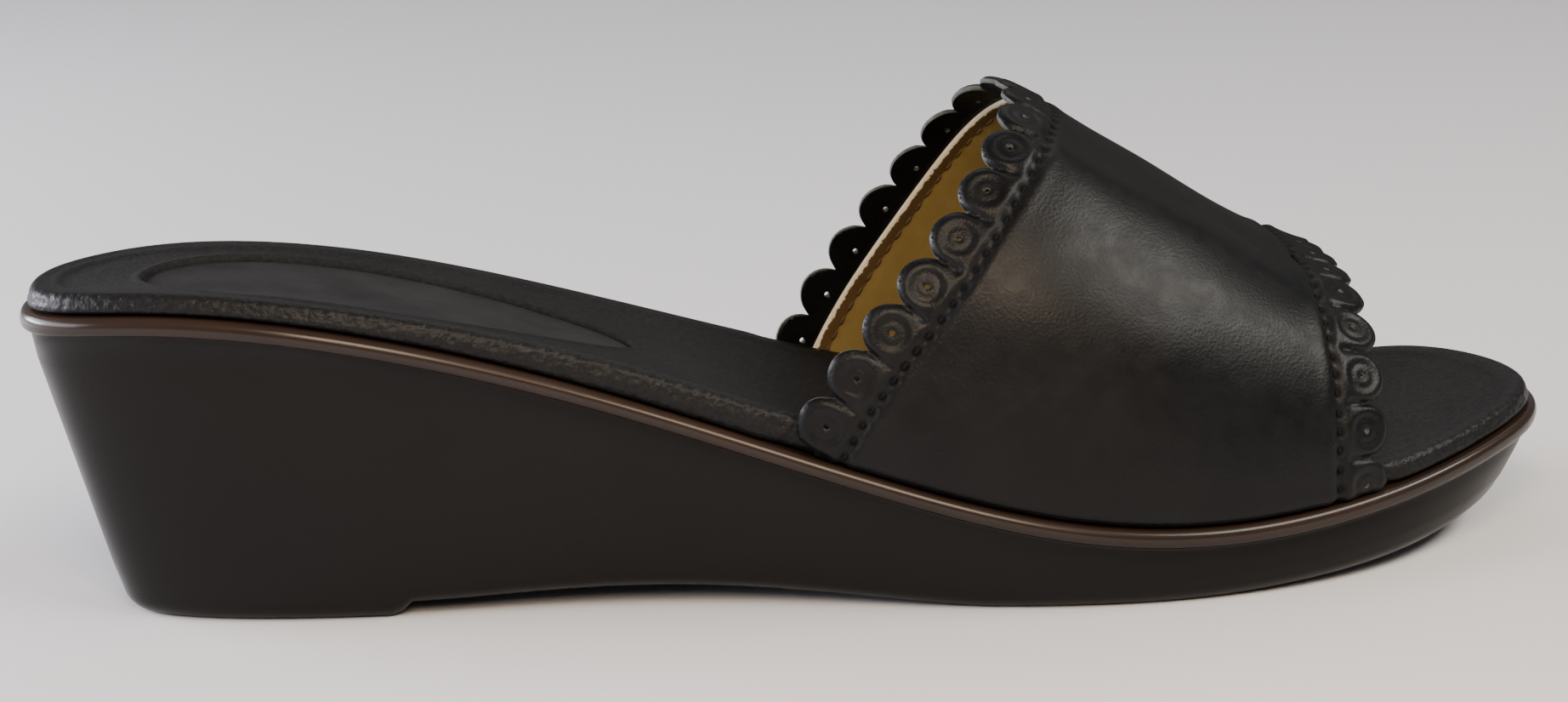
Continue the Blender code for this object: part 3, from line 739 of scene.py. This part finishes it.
class Form:
    """The form that the band is lasted over, as a table of places to read between."""

    def __init__(self):
        self.x = np.arange(FORM_START, FORM_END, FORM_STEP)
        self.share = np.linspace(0, 1, FORM_SHARES + 1)
        self.base = seat_height(self.x) + CLEARANCE
        self.lateral = half_width(self.x / LENGTH, LATERAL) - BAND_INSET
        self.medial = half_width(self.x / LENGTH, MEDIAL) - BAND_INSET
        self.table = np.array([self.section(i) for i in range(len(self.x))])
        middle = (REAR_MEDIAL_FOOT + FRONT_FOOT) / 2
        here = self.read(np.full(FORM_SHARES + 1, middle), self.share)
        self.rise = (here[:, 1] - here[0, 1]) / (here[:, 1].max() - here[0, 1])
        self.girth = np.linalg.norm(np.diff(here, axis=0), axis=1).sum()

    def section(self, i):
        forward = np.clip((self.x[i] - REAR_MEDIAL_FOOT) / (FRONT_FOOT - REAR_MEDIAL_FOOT), 0, 1)
        power = 2 / (REAR_FULLNESS + (FRONT_FULLNESS - REAR_FULLNESS) * forward)
        crest = spline(CREST, self.x[i] / LENGTH) * CREST_TOP
        turn = np.linspace(0, math.pi, 500)
        across = np.sign(np.cos(turn)) * np.abs(np.cos(turn)) ** power
        left = self.lateral[i] + CREST_OFFSET
        right = self.medial[i] - CREST_OFFSET
        y = CREST_OFFSET - np.where(across > 0, left, right) * across
        foot = self.base[i] + CORNER
        z = foot + (crest - foot) * np.sin(turn).clip(0) ** power
        run = np.concatenate([[0.0], np.cumsum(np.hypot(np.diff(y), np.diff(z)))])
        at = self.share * run[-1]
        return np.stack([np.interp(at, run, y), np.interp(at, run, z)], 1)

    def read(self, x, share):
        """(y, z) of the arch at stations and shares of its girth."""
        i = np.clip((x - self.x[0]) / FORM_STEP, 0, len(self.x) - 1.001)
        j = np.clip(share * FORM_SHARES, 0, FORM_SHARES - 0.001)
        a, b = i.astype(int), j.astype(int)
        u, v = (i - a)[:, None], (j - b)[:, None]
        near = self.table[a, b] * (1 - v) + self.table[a, b + 1] * v
        far = self.table[a + 1, b] * (1 - v) + self.table[a + 1, b + 1] * v
        return near * (1 - u) + far * u

    def place(self, pattern):
        """Points of the form for (station, reach from the lateral foot) places."""
        x, reach = pattern[:, 0], pattern[:, 1]
        yz = self.read(x, np.clip(reach / self.girth, 0, 1))
        beyond = np.maximum(-reach, reach - self.girth)
        quarter = CORNER * math.pi / 2
        turn = np.clip(beyond, 0, quarter) / CORNER
        inward = CORNER * (1 - np.cos(turn)) + np.clip(beyond - quarter, 0, None)
        lateral = np.interp(x, self.x, self.lateral)
        medial = np.interp(x, self.x, self.medial)
        y = np.where(reach < 0, inward - lateral, medial - inward)
        z = np.interp(x, self.x, self.base) + CORNER * (1 - np.sin(turn))
        return np.column_stack([x, np.where(beyond[:, None] > 0, np.stack([y, z], 1), yz)])

    def directions(self, pattern):
        """Steps of the form along x and round it, and its outward normals."""
        along = (self.place(pattern + [0.75, 0]) - self.place(pattern - [0.75, 0])) / 1.5
        around = self.place(pattern + [0, 0.5]) - self.place(pattern - [0, 0.5])
        normal = np.cross(along, around)
        return along, around, normal / np.linalg.norm(normal, axis=1, keepdims=True)


form = Form()


class Edge:
    """One scalloped edge: where its lobes are, and what lies near them."""

    def __init__(self, lateral_foot, medial_foot, swing, bow, first_lobe, forward):
        self.foot, self.swing, self.bow = (lateral_foot, medial_foot), swing, bow
        reach = np.linspace(-MARGIN, form.girth + MARGIN, 900)
        places = form.place(np.stack([self.station(reach), reach], 1))
        steps = np.linalg.norm(np.diff(places, axis=0), axis=1)
        run = np.concatenate([[0.0], np.cumsum(steps)])
        run -= np.interp(0.0, reach, run)
        length = np.interp(form.girth, reach, run)
        self.count = round((length - 2 * first_lobe) / LOBE_PITCH)
        self.pitch = (length - 2 * first_lobe) / self.count
        self.radius = self.pitch * LOBE_ROUNDNESS
        self.runs = first_lobe + np.arange(self.count + 1) * self.pitch
        self.reach, self.run, self.forward = reach, run, forward
        self.centre, self.tangent, self.away, self.spots, self.steps = self.frames(self.runs)

    def station(self, reach):
        share = np.clip(reach / form.girth, 0, 1)
        up = np.interp(share, form.share, form.rise)
        foot = self.foot[0] + (self.foot[1] - self.foot[0]) * share
        return foot + self.swing * up + self.bow * up**3

    def frames(self, runs):
        """Places on the edge, with unit steps along it and outward from the band."""
        reach = np.interp(runs, self.run, self.reach)
        spots = np.stack([self.station(reach), reach], 1)
        step = np.stack([self.station(reach + 0.4), reach + 0.4], 1)
        back = np.stack([self.station(reach - 0.4), reach - 0.4], 1)
        tangent = form.place(step) - form.place(back)
        tangent /= np.linalg.norm(tangent, axis=1, keepdims=True)
        along, around, normal = form.directions(spots)
        away = np.cross(tangent, normal)
        away *= np.where((away[:, :1] > 0) == self.forward, 1, -1)
        steps = []
        for a, b, t, o in zip(along, around, tangent, away):
            basis = np.column_stack([a, b])
            steps.append(np.linalg.lstsq(basis, np.column_stack([t, o]), rcond=None)[0].T)
        return form.place(spots), tangent, away, spots, np.array(steps)

    def scallops(self, steps=14):
        """Pattern points of the lobed edge from the lateral to the medial margin."""
        crown = math.acos(self.pitch / 2 / self.radius)
        line = []
        for k in range(self.count + 1):
            low = math.pi if k == 0 else math.pi - crown
            high = 0.0 if k == self.count else crown
            turn = np.linspace(low, high, steps)[:, None]
            bend = self.steps[k, 0] * np.cos(turn) + self.steps[k, 1] * np.sin(turn)
            lobe = self.spots[k] + self.radius * bend
            line += list(lobe if k == self.count else lobe[:-1])
        ends = [-MARGIN, form.girth + MARGIN]
        first, last = (np.array([float(self.station(np.array(r))), r]) for r in ends)
        return np.array([first, *line, last])

    def near(self, points):
        """The way along and out from the nearest lobe's hole, and its distance."""
        best = np.full(len(points), 1e9)
        lobe = np.zeros(len(points), int)
        for k, centre in enumerate(self.centre):
            gap = np.linalg.norm(points - centre, axis=1)
            lobe = np.where(gap < best, k, lobe)
            best = np.minimum(gap, best)
        offset = points - self.centre[lobe]
        along = (offset * self.tangent[lobe]).sum(1)
        out = (offset * self.away[lobe]).sum(1)
        return along, out, best


rear = Edge(REAR_LATERAL_FOOT, REAR_MEDIAL_FOOT, REAR_SWING, REAR_BOW, REAR_FIRST_LOBE, False)
front = Edge(FRONT_FOOT, FRONT_FOOT, FRONT_SWING, 0.0, FRONT_FIRST_LOBE, True)


def needle(edge, along, seam):
    """1 where a stitch pulls the leather down, fading to 0 round it."""
    stitch = edge.pitch / STITCHES_PER_LOBE
    phase = (along / stitch + 0.5) % 1 - 0.5
    return bump(seam, 0.6) * bump(phase * stitch, 0.75)


def pressed(edge, points):
    """Relief near an edge: a domed ring round each hole, creases between, the seam."""
    along, out, r = edge.near(points)
    height = 0.10 * bump(r - 1.2, 0.45) - 0.08 * bump(r - 2.1, 0.5) + 0.26 * bump(r - 3.1, 0.9)
    height -= 0.42 * smooth_step((r - edge.radius + 0.9) / 0.9) * (out > -0.5)
    height -= 0.42 * bump(np.abs(along) - edge.pitch / 2, 0.5) * smooth_step((out + 3.8) / 1.6)
    seam = out + STITCH_LINE
    height -= 0.30 * bump(seam, 0.75) + 0.45 * needle(edge, along, seam)
    height += 0.14 * bump(seam + 1.9, 1.1) + 0.14 * bump(seam - 1.4, 0.8)
    return height * (out > -12)


# Soft troughs and ridges of the band, placed over its arch
CREASES = [
    # x from, share of girth, x to, share of girth, width, height
    (168.0, 0.415, 204.0, 0.40, 5.0, -0.55),
    (166.0, 0.350, 203.0, 0.33, 7.0, 0.40),
    (150.0, 0.200, 176.0, 0.17, 7.0, 0.35),
    (140.0, 0.120, 190.0, 0.10, 8.0, -0.35),
    (192.0, 0.440, 203.0, 0.30, 3.0, -0.35),
    (160.0, 0.640, 204.0, 0.62, 7.0, 0.35),
    (150.0, 0.840, 196.0, 0.86, 8.0, -0.30),
]


def creases(pattern):
    height = np.zeros(len(pattern))
    for x0, share0, x1, share1, width, rise in CREASES:
        a = np.array([x0, share0 * form.girth])
        b = np.array([x1, share1 * form.girth])
        share = np.clip((pattern - a) @ (b - a) / ((b - a) @ (b - a)), 0, 1)
        away = np.linalg.norm(pattern - a - share[:, None] * (b - a), axis=1)
        height += rise * bump(away, width)
    return height


def scattered(spacing, near, far):
    """Staggered pattern points whose distance from both hole lines is in a range."""
    across = np.arange(-MARGIN + 0.5, form.girth + MARGIN - 0.5, spacing * 0.87)
    along = np.arange(FORM_START + 4.0, FORM_END - 6.0, spacing)
    x, reach = np.meshgrid(along, across)
    x = x + (np.arange(len(across)) % 2)[:, None] * spacing / 2
    points = np.stack([x.ravel(), reach.ravel()], 1)
    behind = points[:, 0] - rear.station(points[:, 1])
    inward = np.minimum(behind, front.station(points[:, 1]) - points[:, 0])
    return points[(inward > near) & (inward < far)]


def build_band(leather, cut_edge):
    rear_line, front_line = rear.scallops(), front.scallops()
    medial = np.linspace(rear_line[-1], front_line[-1], 90)[1:-1]
    lateral = np.linspace(front_line[0], rear_line[0], 90)[1:-1]
    outline = np.concatenate([rear_line, medial, front_line[::-1], lateral])
    holes = []
    turn = np.linspace(0, 2 * math.pi, 10, endpoint=False)[:, None]
    for edge in (rear, front):
        for spot, step in zip(edge.spots, edge.steps):
            holes.append(spot + PINHOLE * (step[0] * np.cos(turn) + step[1] * np.sin(turn)))
    fine = scattered(FINE_SPACING, -FINE_REACH, FINE_REACH)
    loose = np.concatenate([fine, scattered(COARSE_SPACING, FINE_REACH, 90.0)])
    loose = loose[within(outline, loose)]
    loose = loose[distance_to(outline, loose) > 0.18]
    for hole in holes:
        loose = loose[np.linalg.norm(loose - hole.mean(0), axis=1) > PINHOLE * 1.15]
    spots, faces, _ = fill(outline, holes, loose)
    middle = spots[faces].mean(axis=1)
    solid = np.ones(len(faces), bool)
    for hole in holes:
        close = np.abs(middle - hole.mean(0)).max(axis=1) < 2
        solid[close] &= ~within(hole, middle[close])
    faces = faces[solid]
    _, _, normal = form.directions(spots)
    base = form.place(spots)
    height = creases(spots) + pressed(rear, base) + pressed(front, base)
    n = len(spots)
    directed = {}
    for face in faces:
        for a, b in zip(face, np.roll(face, -1)):
            directed[(int(a), int(b))] = True
    rims = [(b, a) for a, b in directed if (b, a) not in directed]
    every = [tuple(int(i) for i in face) for face in faces]
    every += [tuple(int(i) + n for i in face[::-1]) for face in faces]
    every += [(a, b, b + n, a + n) for a, b in rims]
    slots = np.concatenate([np.zeros(2 * len(faces)), np.ones(len(rims))])
    stitched = np.zeros(n)
    for edge in (rear, front):
        along, out, _ = edge.near(base)
        stitched = np.maximum(stitched, needle(edge, along, out + STITCH_LINE))
    points = np.concatenate([base + normal * height[:, None], base - normal * LEATHER])
    values = {"stitched": np.tile(stitched, 2)}
    return make("band_leather", points, every, [leather, cut_edge], slots, values)


# Black full-grain leather, aniline dyed and plated: a tight grain under a soft sheen that
# breaks up, dull in the dents that the stitches pull. Its grain of about 0.2 mm would
# vanish, so it is drawn at 0.45 mm.
LEATHER_GRAIN = 0.45
DYE_CLOUDS = 12.0
SHEEN_PATCHES = 3.0
WRINKLES = 2.2
SWELLS = 14.0
leather, tree = new_material("black_leather")
place = node(tree, "TexCoord", "Object", {})
dye = node(tree, "TexNoise", "Fac", {"Vector": place, "Scale": 1000 / DYE_CLOUDS, **ROUGH_NOISE})
dye = node(tree, "MapRange", "Result", {"Value": dye, "From Min": 0.35, "From Max": 0.7})
colour = node(
    tree, "Mix", "Result", {"Factor": dye, "A": linear("060607"), "B": linear("0d0d0e")}, data_type="RGBA"
)
sheen = node(tree, "TexNoise", "Fac", {"Vector": place, "Scale": 1000 / SHEEN_PATCHES, **ROUGH_NOISE})
sheen = node(
    tree,
    "MapRange",
    "Result",
    {"Value": sheen, "From Min": 0.3, "From Max": 0.7, "To Min": 0.37, "To Max": 0.47},
)
grazing = node(tree, "LayerWeight", "Facing", {"Blend": 0.5})
grazing = node(
    tree, "MapRange", "Result", {"Value": grazing, "From Min": 0.55, "From Max": 0.9, "To Max": 0.5}
)
dull = node(tree, "Math", "Value", {0: sheen, 1: grazing}, operation="ADD")
stitched = node(tree, "Attribute", "Fac", {}, attribute_name="stitched")
dull = node(tree, "Math", "Value", {0: dull, 1: stitched}, operation="ADD")
grain = node(
    tree, "TexVoronoi", "Distance", {"Vector": place, "Scale": 1000 / LEATHER_GRAIN}, feature="SMOOTH_F1"
)
wrinkles = node(
    tree, "TexNoise", "Fac", {"Vector": place, "Scale": 1000 / WRINKLES, **ROUGH_NOISE, "Detail": 3.0}
)
swells = node(tree, "TexNoise", "Fac", {"Vector": place, "Scale": 1000 / SWELLS, **SOFT_NOISE})
relief = node(tree, "Bump", "Normal", {"Height": grain, "Distance": 0.065 / 1000, "Strength": 0.6})
relief = node(
    tree, "Bump", "Normal", {"Height": wrinkles, "Distance": 0.07 / 1000, "Strength": 0.2, "Normal": relief}
)
relief = node(
    tree, "Bump", "Normal", {"Height": swells, "Distance": 0.5 / 1000, "Strength": 0.12, "Normal": relief}
)
shader = node(
    tree,
    "BsdfPrincipled",
    "BSDF",
    {"Base Color": colour, "Roughness": dull, "Normal": relief, "IOR": 1.38, "Specular IOR Level": 0.36},
)
node(tree, "OutputMaterial", None, {"Surface": shader})

# The leather's die-cut edge, where the dye hasn't gone through: grey and slightly fuzzy
FIBRE_CLUMPS = 0.8
FIBRES = 0.25
raw_leather, tree = new_material("leather_cut_edge")
place = node(tree, "TexCoord", "Object", {})
clumps = node(tree, "TexNoise", "Fac", {"Vector": place, "Scale": 1000 / FIBRE_CLUMPS, **ROUGH_NOISE})
colour = node(tree, "ValToRGB", "Color", {"Fac": clumps}, stops=[(0.35, "383b36"), (0.7, "53574f")])
fibres = node(tree, "TexNoise", "Fac", {"Vector": place, "Scale": 1000 / FIBRES, **ROUGH_NOISE})
relief = node(tree, "Bump", "Normal", {"Height": fibres, "Distance": 0.08 / 1000, "Strength": 0.6})
shader = node(tree, "BsdfPrincipled", "BSDF", {"Base Color": colour, "Roughness": 0.75, "Normal": relief})
node(tree, "OutputMaterial", None, {"Surface": shader})

band_leather = build_band(leather, raw_leather)
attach(band_leather, "root")
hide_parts("upper")


# Lining: thin tan pigskin glued inside the band and caught by its seam. It is trimmed
# raw a little inside the holes, so that the lobes are the leather alone.
LINING_EDGE = 2.3
LINING_STATIONS = 300
GLUE = 0.03


def build_lining(tan):
    def line(edge, inset):
        """Pattern points of a line a distance inside an edge's holes."""
        runs = np.linspace(edge.run[0] + 0.5, edge.run[-1] - 0.5, LINING_STATIONS)
        _, _, _, spots, steps = edge.frames(runs)
        return spots - steps[:, 1] * inset

    outline = np.concatenate([line(rear, LINING_EDGE), line(front, LINING_EDGE)[::-1]])
    inner = [line(edge, LINING_EDGE + inset) for edge in (rear, front) for inset in (0.35, 0.9)]
    loose = np.concatenate([*inner, scattered(1.0, 3.6, 9.0), scattered(2.0, 9.0, 90.0)])
    loose = loose[within(outline, loose)]
    spots, faces, ring = fill(outline, [], loose)
    _, _, normal = form.directions(spots)
    base = form.place(spots)
    inward = np.minimum(-rear.near(base)[1], -front.near(base)[1])
    depth = LEATHER + LINING - 0.25 * (1 - smooth_step((inward - LINING_EDGE) / 0.5))
    depth -= 0.22 * bump(inward - STITCH_LINE, 0.6)
    n = len(spots)
    every = [tuple(int(i) for i in face[::-1]) for face in faces]
    every += bridge([i + n for i in ring], ring)
    points = np.concatenate([base - normal * depth[:, None], base - normal * (LEATHER + GLUE)])
    return make("band_lining", points, every, [tan], values={"inward": np.tile(inward, 2)})


# Pigskin: cream where it is cut, browner along the sewn strip, then golden tan with a
# fine crackled grain and soft mottling. Places are millimetres inside the holes.
STRIP_START = 2.0
STRIP_END = 7.0
CRACKLE = 0.8
MOTTLING = 5.0
RAGGED = 0.9
PUCKERS = 6.0
tan, tree = new_material("tan_lining")
place = node(tree, "TexCoord", "Object", {})
ragged = node(tree, "TexNoise", "Fac", {"Vector": place, "Scale": 1000 / RAGGED, **ROUGH_NOISE})
ragged = node(
    tree,
    "MapRange",
    "Result",
    {"Value": ragged, "From Min": 0.3, "From Max": 0.7, "To Min": -0.25, "To Max": 0.25},
)
inward = node(tree, "Attribute", "Fac", {}, attribute_name="inward")
inward = node(tree, "Math", "Value", {0: inward, 1: ragged}, operation="ADD")
inward = node(tree, "MapRange", "Result", {"Value": inward, "From Min": STRIP_START, "From Max": STRIP_END})
strip = node(
    tree,
    "ValToRGB",
    "Color",
    {"Fac": inward},
    stops=[
        (0.0, "f4ecd2"),
        (0.17, "efe4c6"),
        (0.20, "5a431e"),
        (0.56, "5b4521"),
        (0.62, "8d7841"),
        (1.0, "917c45"),
    ],
)
mottling = node(tree, "TexNoise", "Fac", {"Vector": place, "Scale": 1000 / MOTTLING, **ROUGH_NOISE})
mottling = node(
    tree, "MapRange", "Result", {"Value": mottling, "From Min": 0.35, "From Max": 0.75, "To Max": 0.35}
)
colour = node(
    tree,
    "Mix",
    "Result",
    {"Factor": mottling, "A": strip, "B": linear("c09a58")},
    data_type="RGBA",
    blend_type="MULTIPLY",
)
crackle = node(
    tree, "TexVoronoi", "Distance", {"Vector": place, "Scale": 1000 / CRACKLE}, feature="DISTANCE_TO_EDGE"
)
puckers = node(tree, "TexNoise", "Fac", {"Vector": place, "Scale": 1000 / PUCKERS, **SOFT_NOISE})
relief = node(tree, "Bump", "Normal", {"Height": crackle, "Distance": 0.06 / 1000, "Strength": 0.6})
relief = node(
    tree, "Bump", "Normal", {"Height": puckers, "Distance": 0.3 / 1000, "Strength": 0.15, "Normal": relief}
)
shader = node(tree, "BsdfPrincipled", "BSDF", {"Base Color": colour, "Roughness": 0.6, "Normal": relief})
node(tree, "OutputMaterial", None, {"Surface": shader})

band_lining = build_lining(tan)
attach(band_lining, "root")


# Stitches: one lockstitch seam along each edge, three stitches to a lobe. Outside, black
# waxed thread is pulled into the leather, and inside, brown thread lies on the lining.
# Length, width and sink of the thread
OUTER_THREAD = (1.7, 0.8, 0.58)
INNER_THREAD = (2.3, 0.6, 0.05)
THREAD_STATIONS = 7
THREAD_SIDES = 8
THREAD_SAG = 0.22
SEAM_END = 2.0


def build_stitches(edge, name, thread, inner, length, width, sink):
    stitch = edge.pitch / STITCHES_PER_LOBE
    count = int((edge.run[-1] - edge.run[0] - 2 * SEAM_END) / stitch)
    skipped = math.ceil((edge.run[0] + SEAM_END - edge.runs[0]) / stitch)
    runs = edge.runs[0] + skipped * stitch + np.arange(count) * stitch
    _, tangent, away, spots, steps = edge.frames(runs)
    middle = spots - steps[:, 1] * STITCH_LINE
    centre = form.place(middle)
    _, _, normal = form.directions(middle)
    points, faces = [], []
    turns = np.linspace(0, 2 * math.pi, THREAD_SIDES, endpoint=False)
    for c, t, o, up in zip(centre, tangent, away, normal):
        if inner:
            c, up = c - up * (LEATHER + LINING), -up
        c = c - up * sink
        start = len(points)
        for s in np.linspace(-1, 1, THREAD_STATIONS):
            size = width / 2 * math.sqrt(max(1 - abs(s) ** 2.6, 0.02))
            at = c + t * s * length / 2 - up * THREAD_SAG * s * s
            points += [at + o * size * math.cos(a) + up * size * math.sin(a) for a in turns]
        rings = [range(k, k + THREAD_SIDES) for k in range(start, len(points), THREAD_SIDES)]
        for lower, upper in zip(rings, rings[1:]):
            faces += bridge(lower, upper)
        faces += [tuple(reversed(rings[0])), tuple(rings[-1])]
    return make(name, points, faces, [thread])


# Spun polyester thread under wax: dark, with a faint twist and hardly any shine
TWIST = 0.2
THREAD_CLOUDS = 0.4
threads = {}
for name, dark, pale, roughness, specular in (
    ("black_thread", "060607", "0d0d0e", 0.8, 0.2),
    ("brown_thread", "3f2a10", "5d4220", 0.7, 0.5),
):
    threads[name], tree = new_material(name)
    place = node(tree, "TexCoord", "Object", {})
    clouds = node(tree, "TexNoise", "Fac", {"Vector": place, "Scale": 1000 / THREAD_CLOUDS, **ROUGH_NOISE})
    colour = node(tree, "ValToRGB", "Color", {"Fac": clouds}, stops=[(0.3, dark), (0.7, pale)])
    twist = node(tree, "TexNoise", "Fac", {"Vector": place, "Scale": 1000 / TWIST, **ROUGH_NOISE})
    relief = node(tree, "Bump", "Normal", {"Height": twist, "Distance": 0.05 / 1000, "Strength": 0.5})
    shader = node(
        tree,
        "BsdfPrincipled",
        "BSDF",
        {
            "Base Color": colour,
            "Roughness": roughness,
            "Normal": relief,
            "Specular IOR Level": specular,
        },
    )
    node(tree, "OutputMaterial", None, {"Surface": shader})

for edge, where in ((rear, "rear"), (front, "front")):
    outer = build_stitches(edge, f"stitches_{where}", threads["black_thread"], False, *OUTER_THREAD)
    inner = build_stitches(edge, f"lining_stitches_{where}", threads["brown_thread"], True, *INNER_THREAD)
    for stitches in (outer, inner):
        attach(stitches, "root")


# Studio: a sweep of pale matt paper, curved up far behind the shoe so that every side
# can be seen. It is in metres, as are the lights and the camera.
SWEEP_FRONT = -2.2
SWEEP_TURN = 1.8
SWEEP_RADIUS = 0.5
SWEEP_TOP = 2.0
SWEEP_HALF_WIDTH = 3.0
PAPER_CLOUDS = 400.0
paper, tree = new_material("studio_sweep")
place = node(tree, "TexCoord", "Object", {})
clouds = node(tree, "TexNoise", "Fac", {"Vector": place, "Scale": 1000 / PAPER_CLOUDS, **SOFT_NOISE})
colour = node(tree, "ValToRGB", "Color", {"Fac": clouds}, stops=[(0.3, "e6e5e7"), (0.7, "eae9eb")])
shader = node(tree, "BsdfPrincipled", "BSDF", {"Base Color": colour, "Roughness": 0.7})
node(tree, "OutputMaterial", None, {"Surface": shader})

profile = [(SWEEP_FRONT, 0.0), (SWEEP_TURN, 0.0)]
for turn in np.linspace(0.1, math.pi / 2, 16):
    profile.append((SWEEP_TURN + SWEEP_RADIUS * math.sin(turn), SWEEP_RADIUS * (1 - math.cos(turn))))
profile.append((SWEEP_TURN + SWEEP_RADIUS, SWEEP_TOP))
corners = [(x, y, z) for y, z in profile for x in (-SWEEP_HALF_WIDTH, SWEEP_HALF_WIDTH)]
strips = [(2 * k, 2 * k + 1, 2 * k + 3, 2 * k + 2) for k in range(len(profile) - 1)]
mesh = bpy.data.meshes.new("studio_sweep")
mesh.from_pydata(corners, [], strips)
mesh.materials.append(paper)
mesh.shade_smooth()
sweep = bpy.data.objects.new("studio_sweep", mesh)
bpy.context.scene.collection.objects.link(sweep)

# Lights: a wide low window and a small kicker at the heel, a ceiling light behind, a
# softbox for the band's highlight, and a warm lamp beside the camera
LIGHTS = [
    # name, place, aim, size, watts, colour
    ("window", (-0.74, 0.12, 0.27), (-0.05, 0.0, 0.05), (1.1, 0.30), 9.5, "f4f4ff"),
    ("kicker", (-0.72, 0.30, 0.19), (-0.12, -0.005, 0.05), (0.42, 0.09), 4.6, "f4f4ff"),
    ("ceiling", (0.20, 0.65, 0.95), (0.0, 0.3, 0.0), (0.9, 0.6), 2.0, "fffdf8"),
    ("softbox", (0.55, -0.32, 0.64), (0.04, 0.0, 0.04), (0.80, 0.24), 7.8, "fffaf0"),
    ("lamp", (-0.05, -0.52, 0.41), (0.03, 0.0, 0.04), (0.20, 0.32), 2.9, "ffe6c8"),
]
WORLD_COLOUR = "c9c9d2"
WORLD_STRENGTH = 0.22
for name, place, aim, size, watts, colour in LIGHTS:
    light = bpy.data.lights.new(name, "AREA")
    light.shape = "RECTANGLE"
    light.size, light.size_y = size
    light.energy = watts
    light.color = linear(colour)[:3]
    lamp = bpy.data.objects.new(name, light)
    lamp.location = place
    lamp.rotation_euler = (Vector(aim) - Vector(place)).to_track_quat("-Z", "Y").to_euler()
    lamp.visible_camera = False
    bpy.context.scene.collection.objects.link(lamp)
world = bpy.data.worlds.new("studio")
world.use_nodes = True
background = world.node_tree.nodes["Background"]
background.inputs["Color"].default_value = linear(WORLD_COLOUR)
background.inputs["Strength"].default_value = WORLD_STRENGTH
bpy.context.scene.world = world

# Camera: the photo's angle, from a little above the outer side, turned to the heel
AZIMUTH = math.radians(-6.5)
ELEVATION = math.radians(14.0)
ROLL = math.radians(-2.1)
DISTANCE = 0.600
TARGET = Vector((-0.0020, 0.0, 0.0344))
FOCAL_PIXELS = 4345.0
PHOTO_WIDTH = 1844
SENSOR = 36
level = math.cos(ELEVATION)
back = Vector((math.sin(AZIMUTH) * level, -math.cos(AZIMUTH) * level, math.sin(ELEVATION)))
right = Vector((math.cos(AZIMUTH), math.sin(AZIMUTH), 0.0))
up = back.cross(right)
tilted_right = right * math.cos(ROLL) + up * math.sin(ROLL)
tilted_up = up * math.cos(ROLL) - right * math.sin(ROLL)
lens = bpy.data.cameras.new("camera")
lens.sensor_width = SENSOR
lens.lens = FOCAL_PIXELS / PHOTO_WIDTH * SENSOR
lens.clip_start = 0.01
camera = bpy.data.objects.new("camera", lens)
turned = Matrix((tilted_right, tilted_up, back)).transposed().to_4x4()
camera.matrix_world = Matrix.Translation(TARGET + back * DISTANCE) @ turned
bpy.context.scene.collection.objects.link(camera)
bpy.context.scene.camera = camera
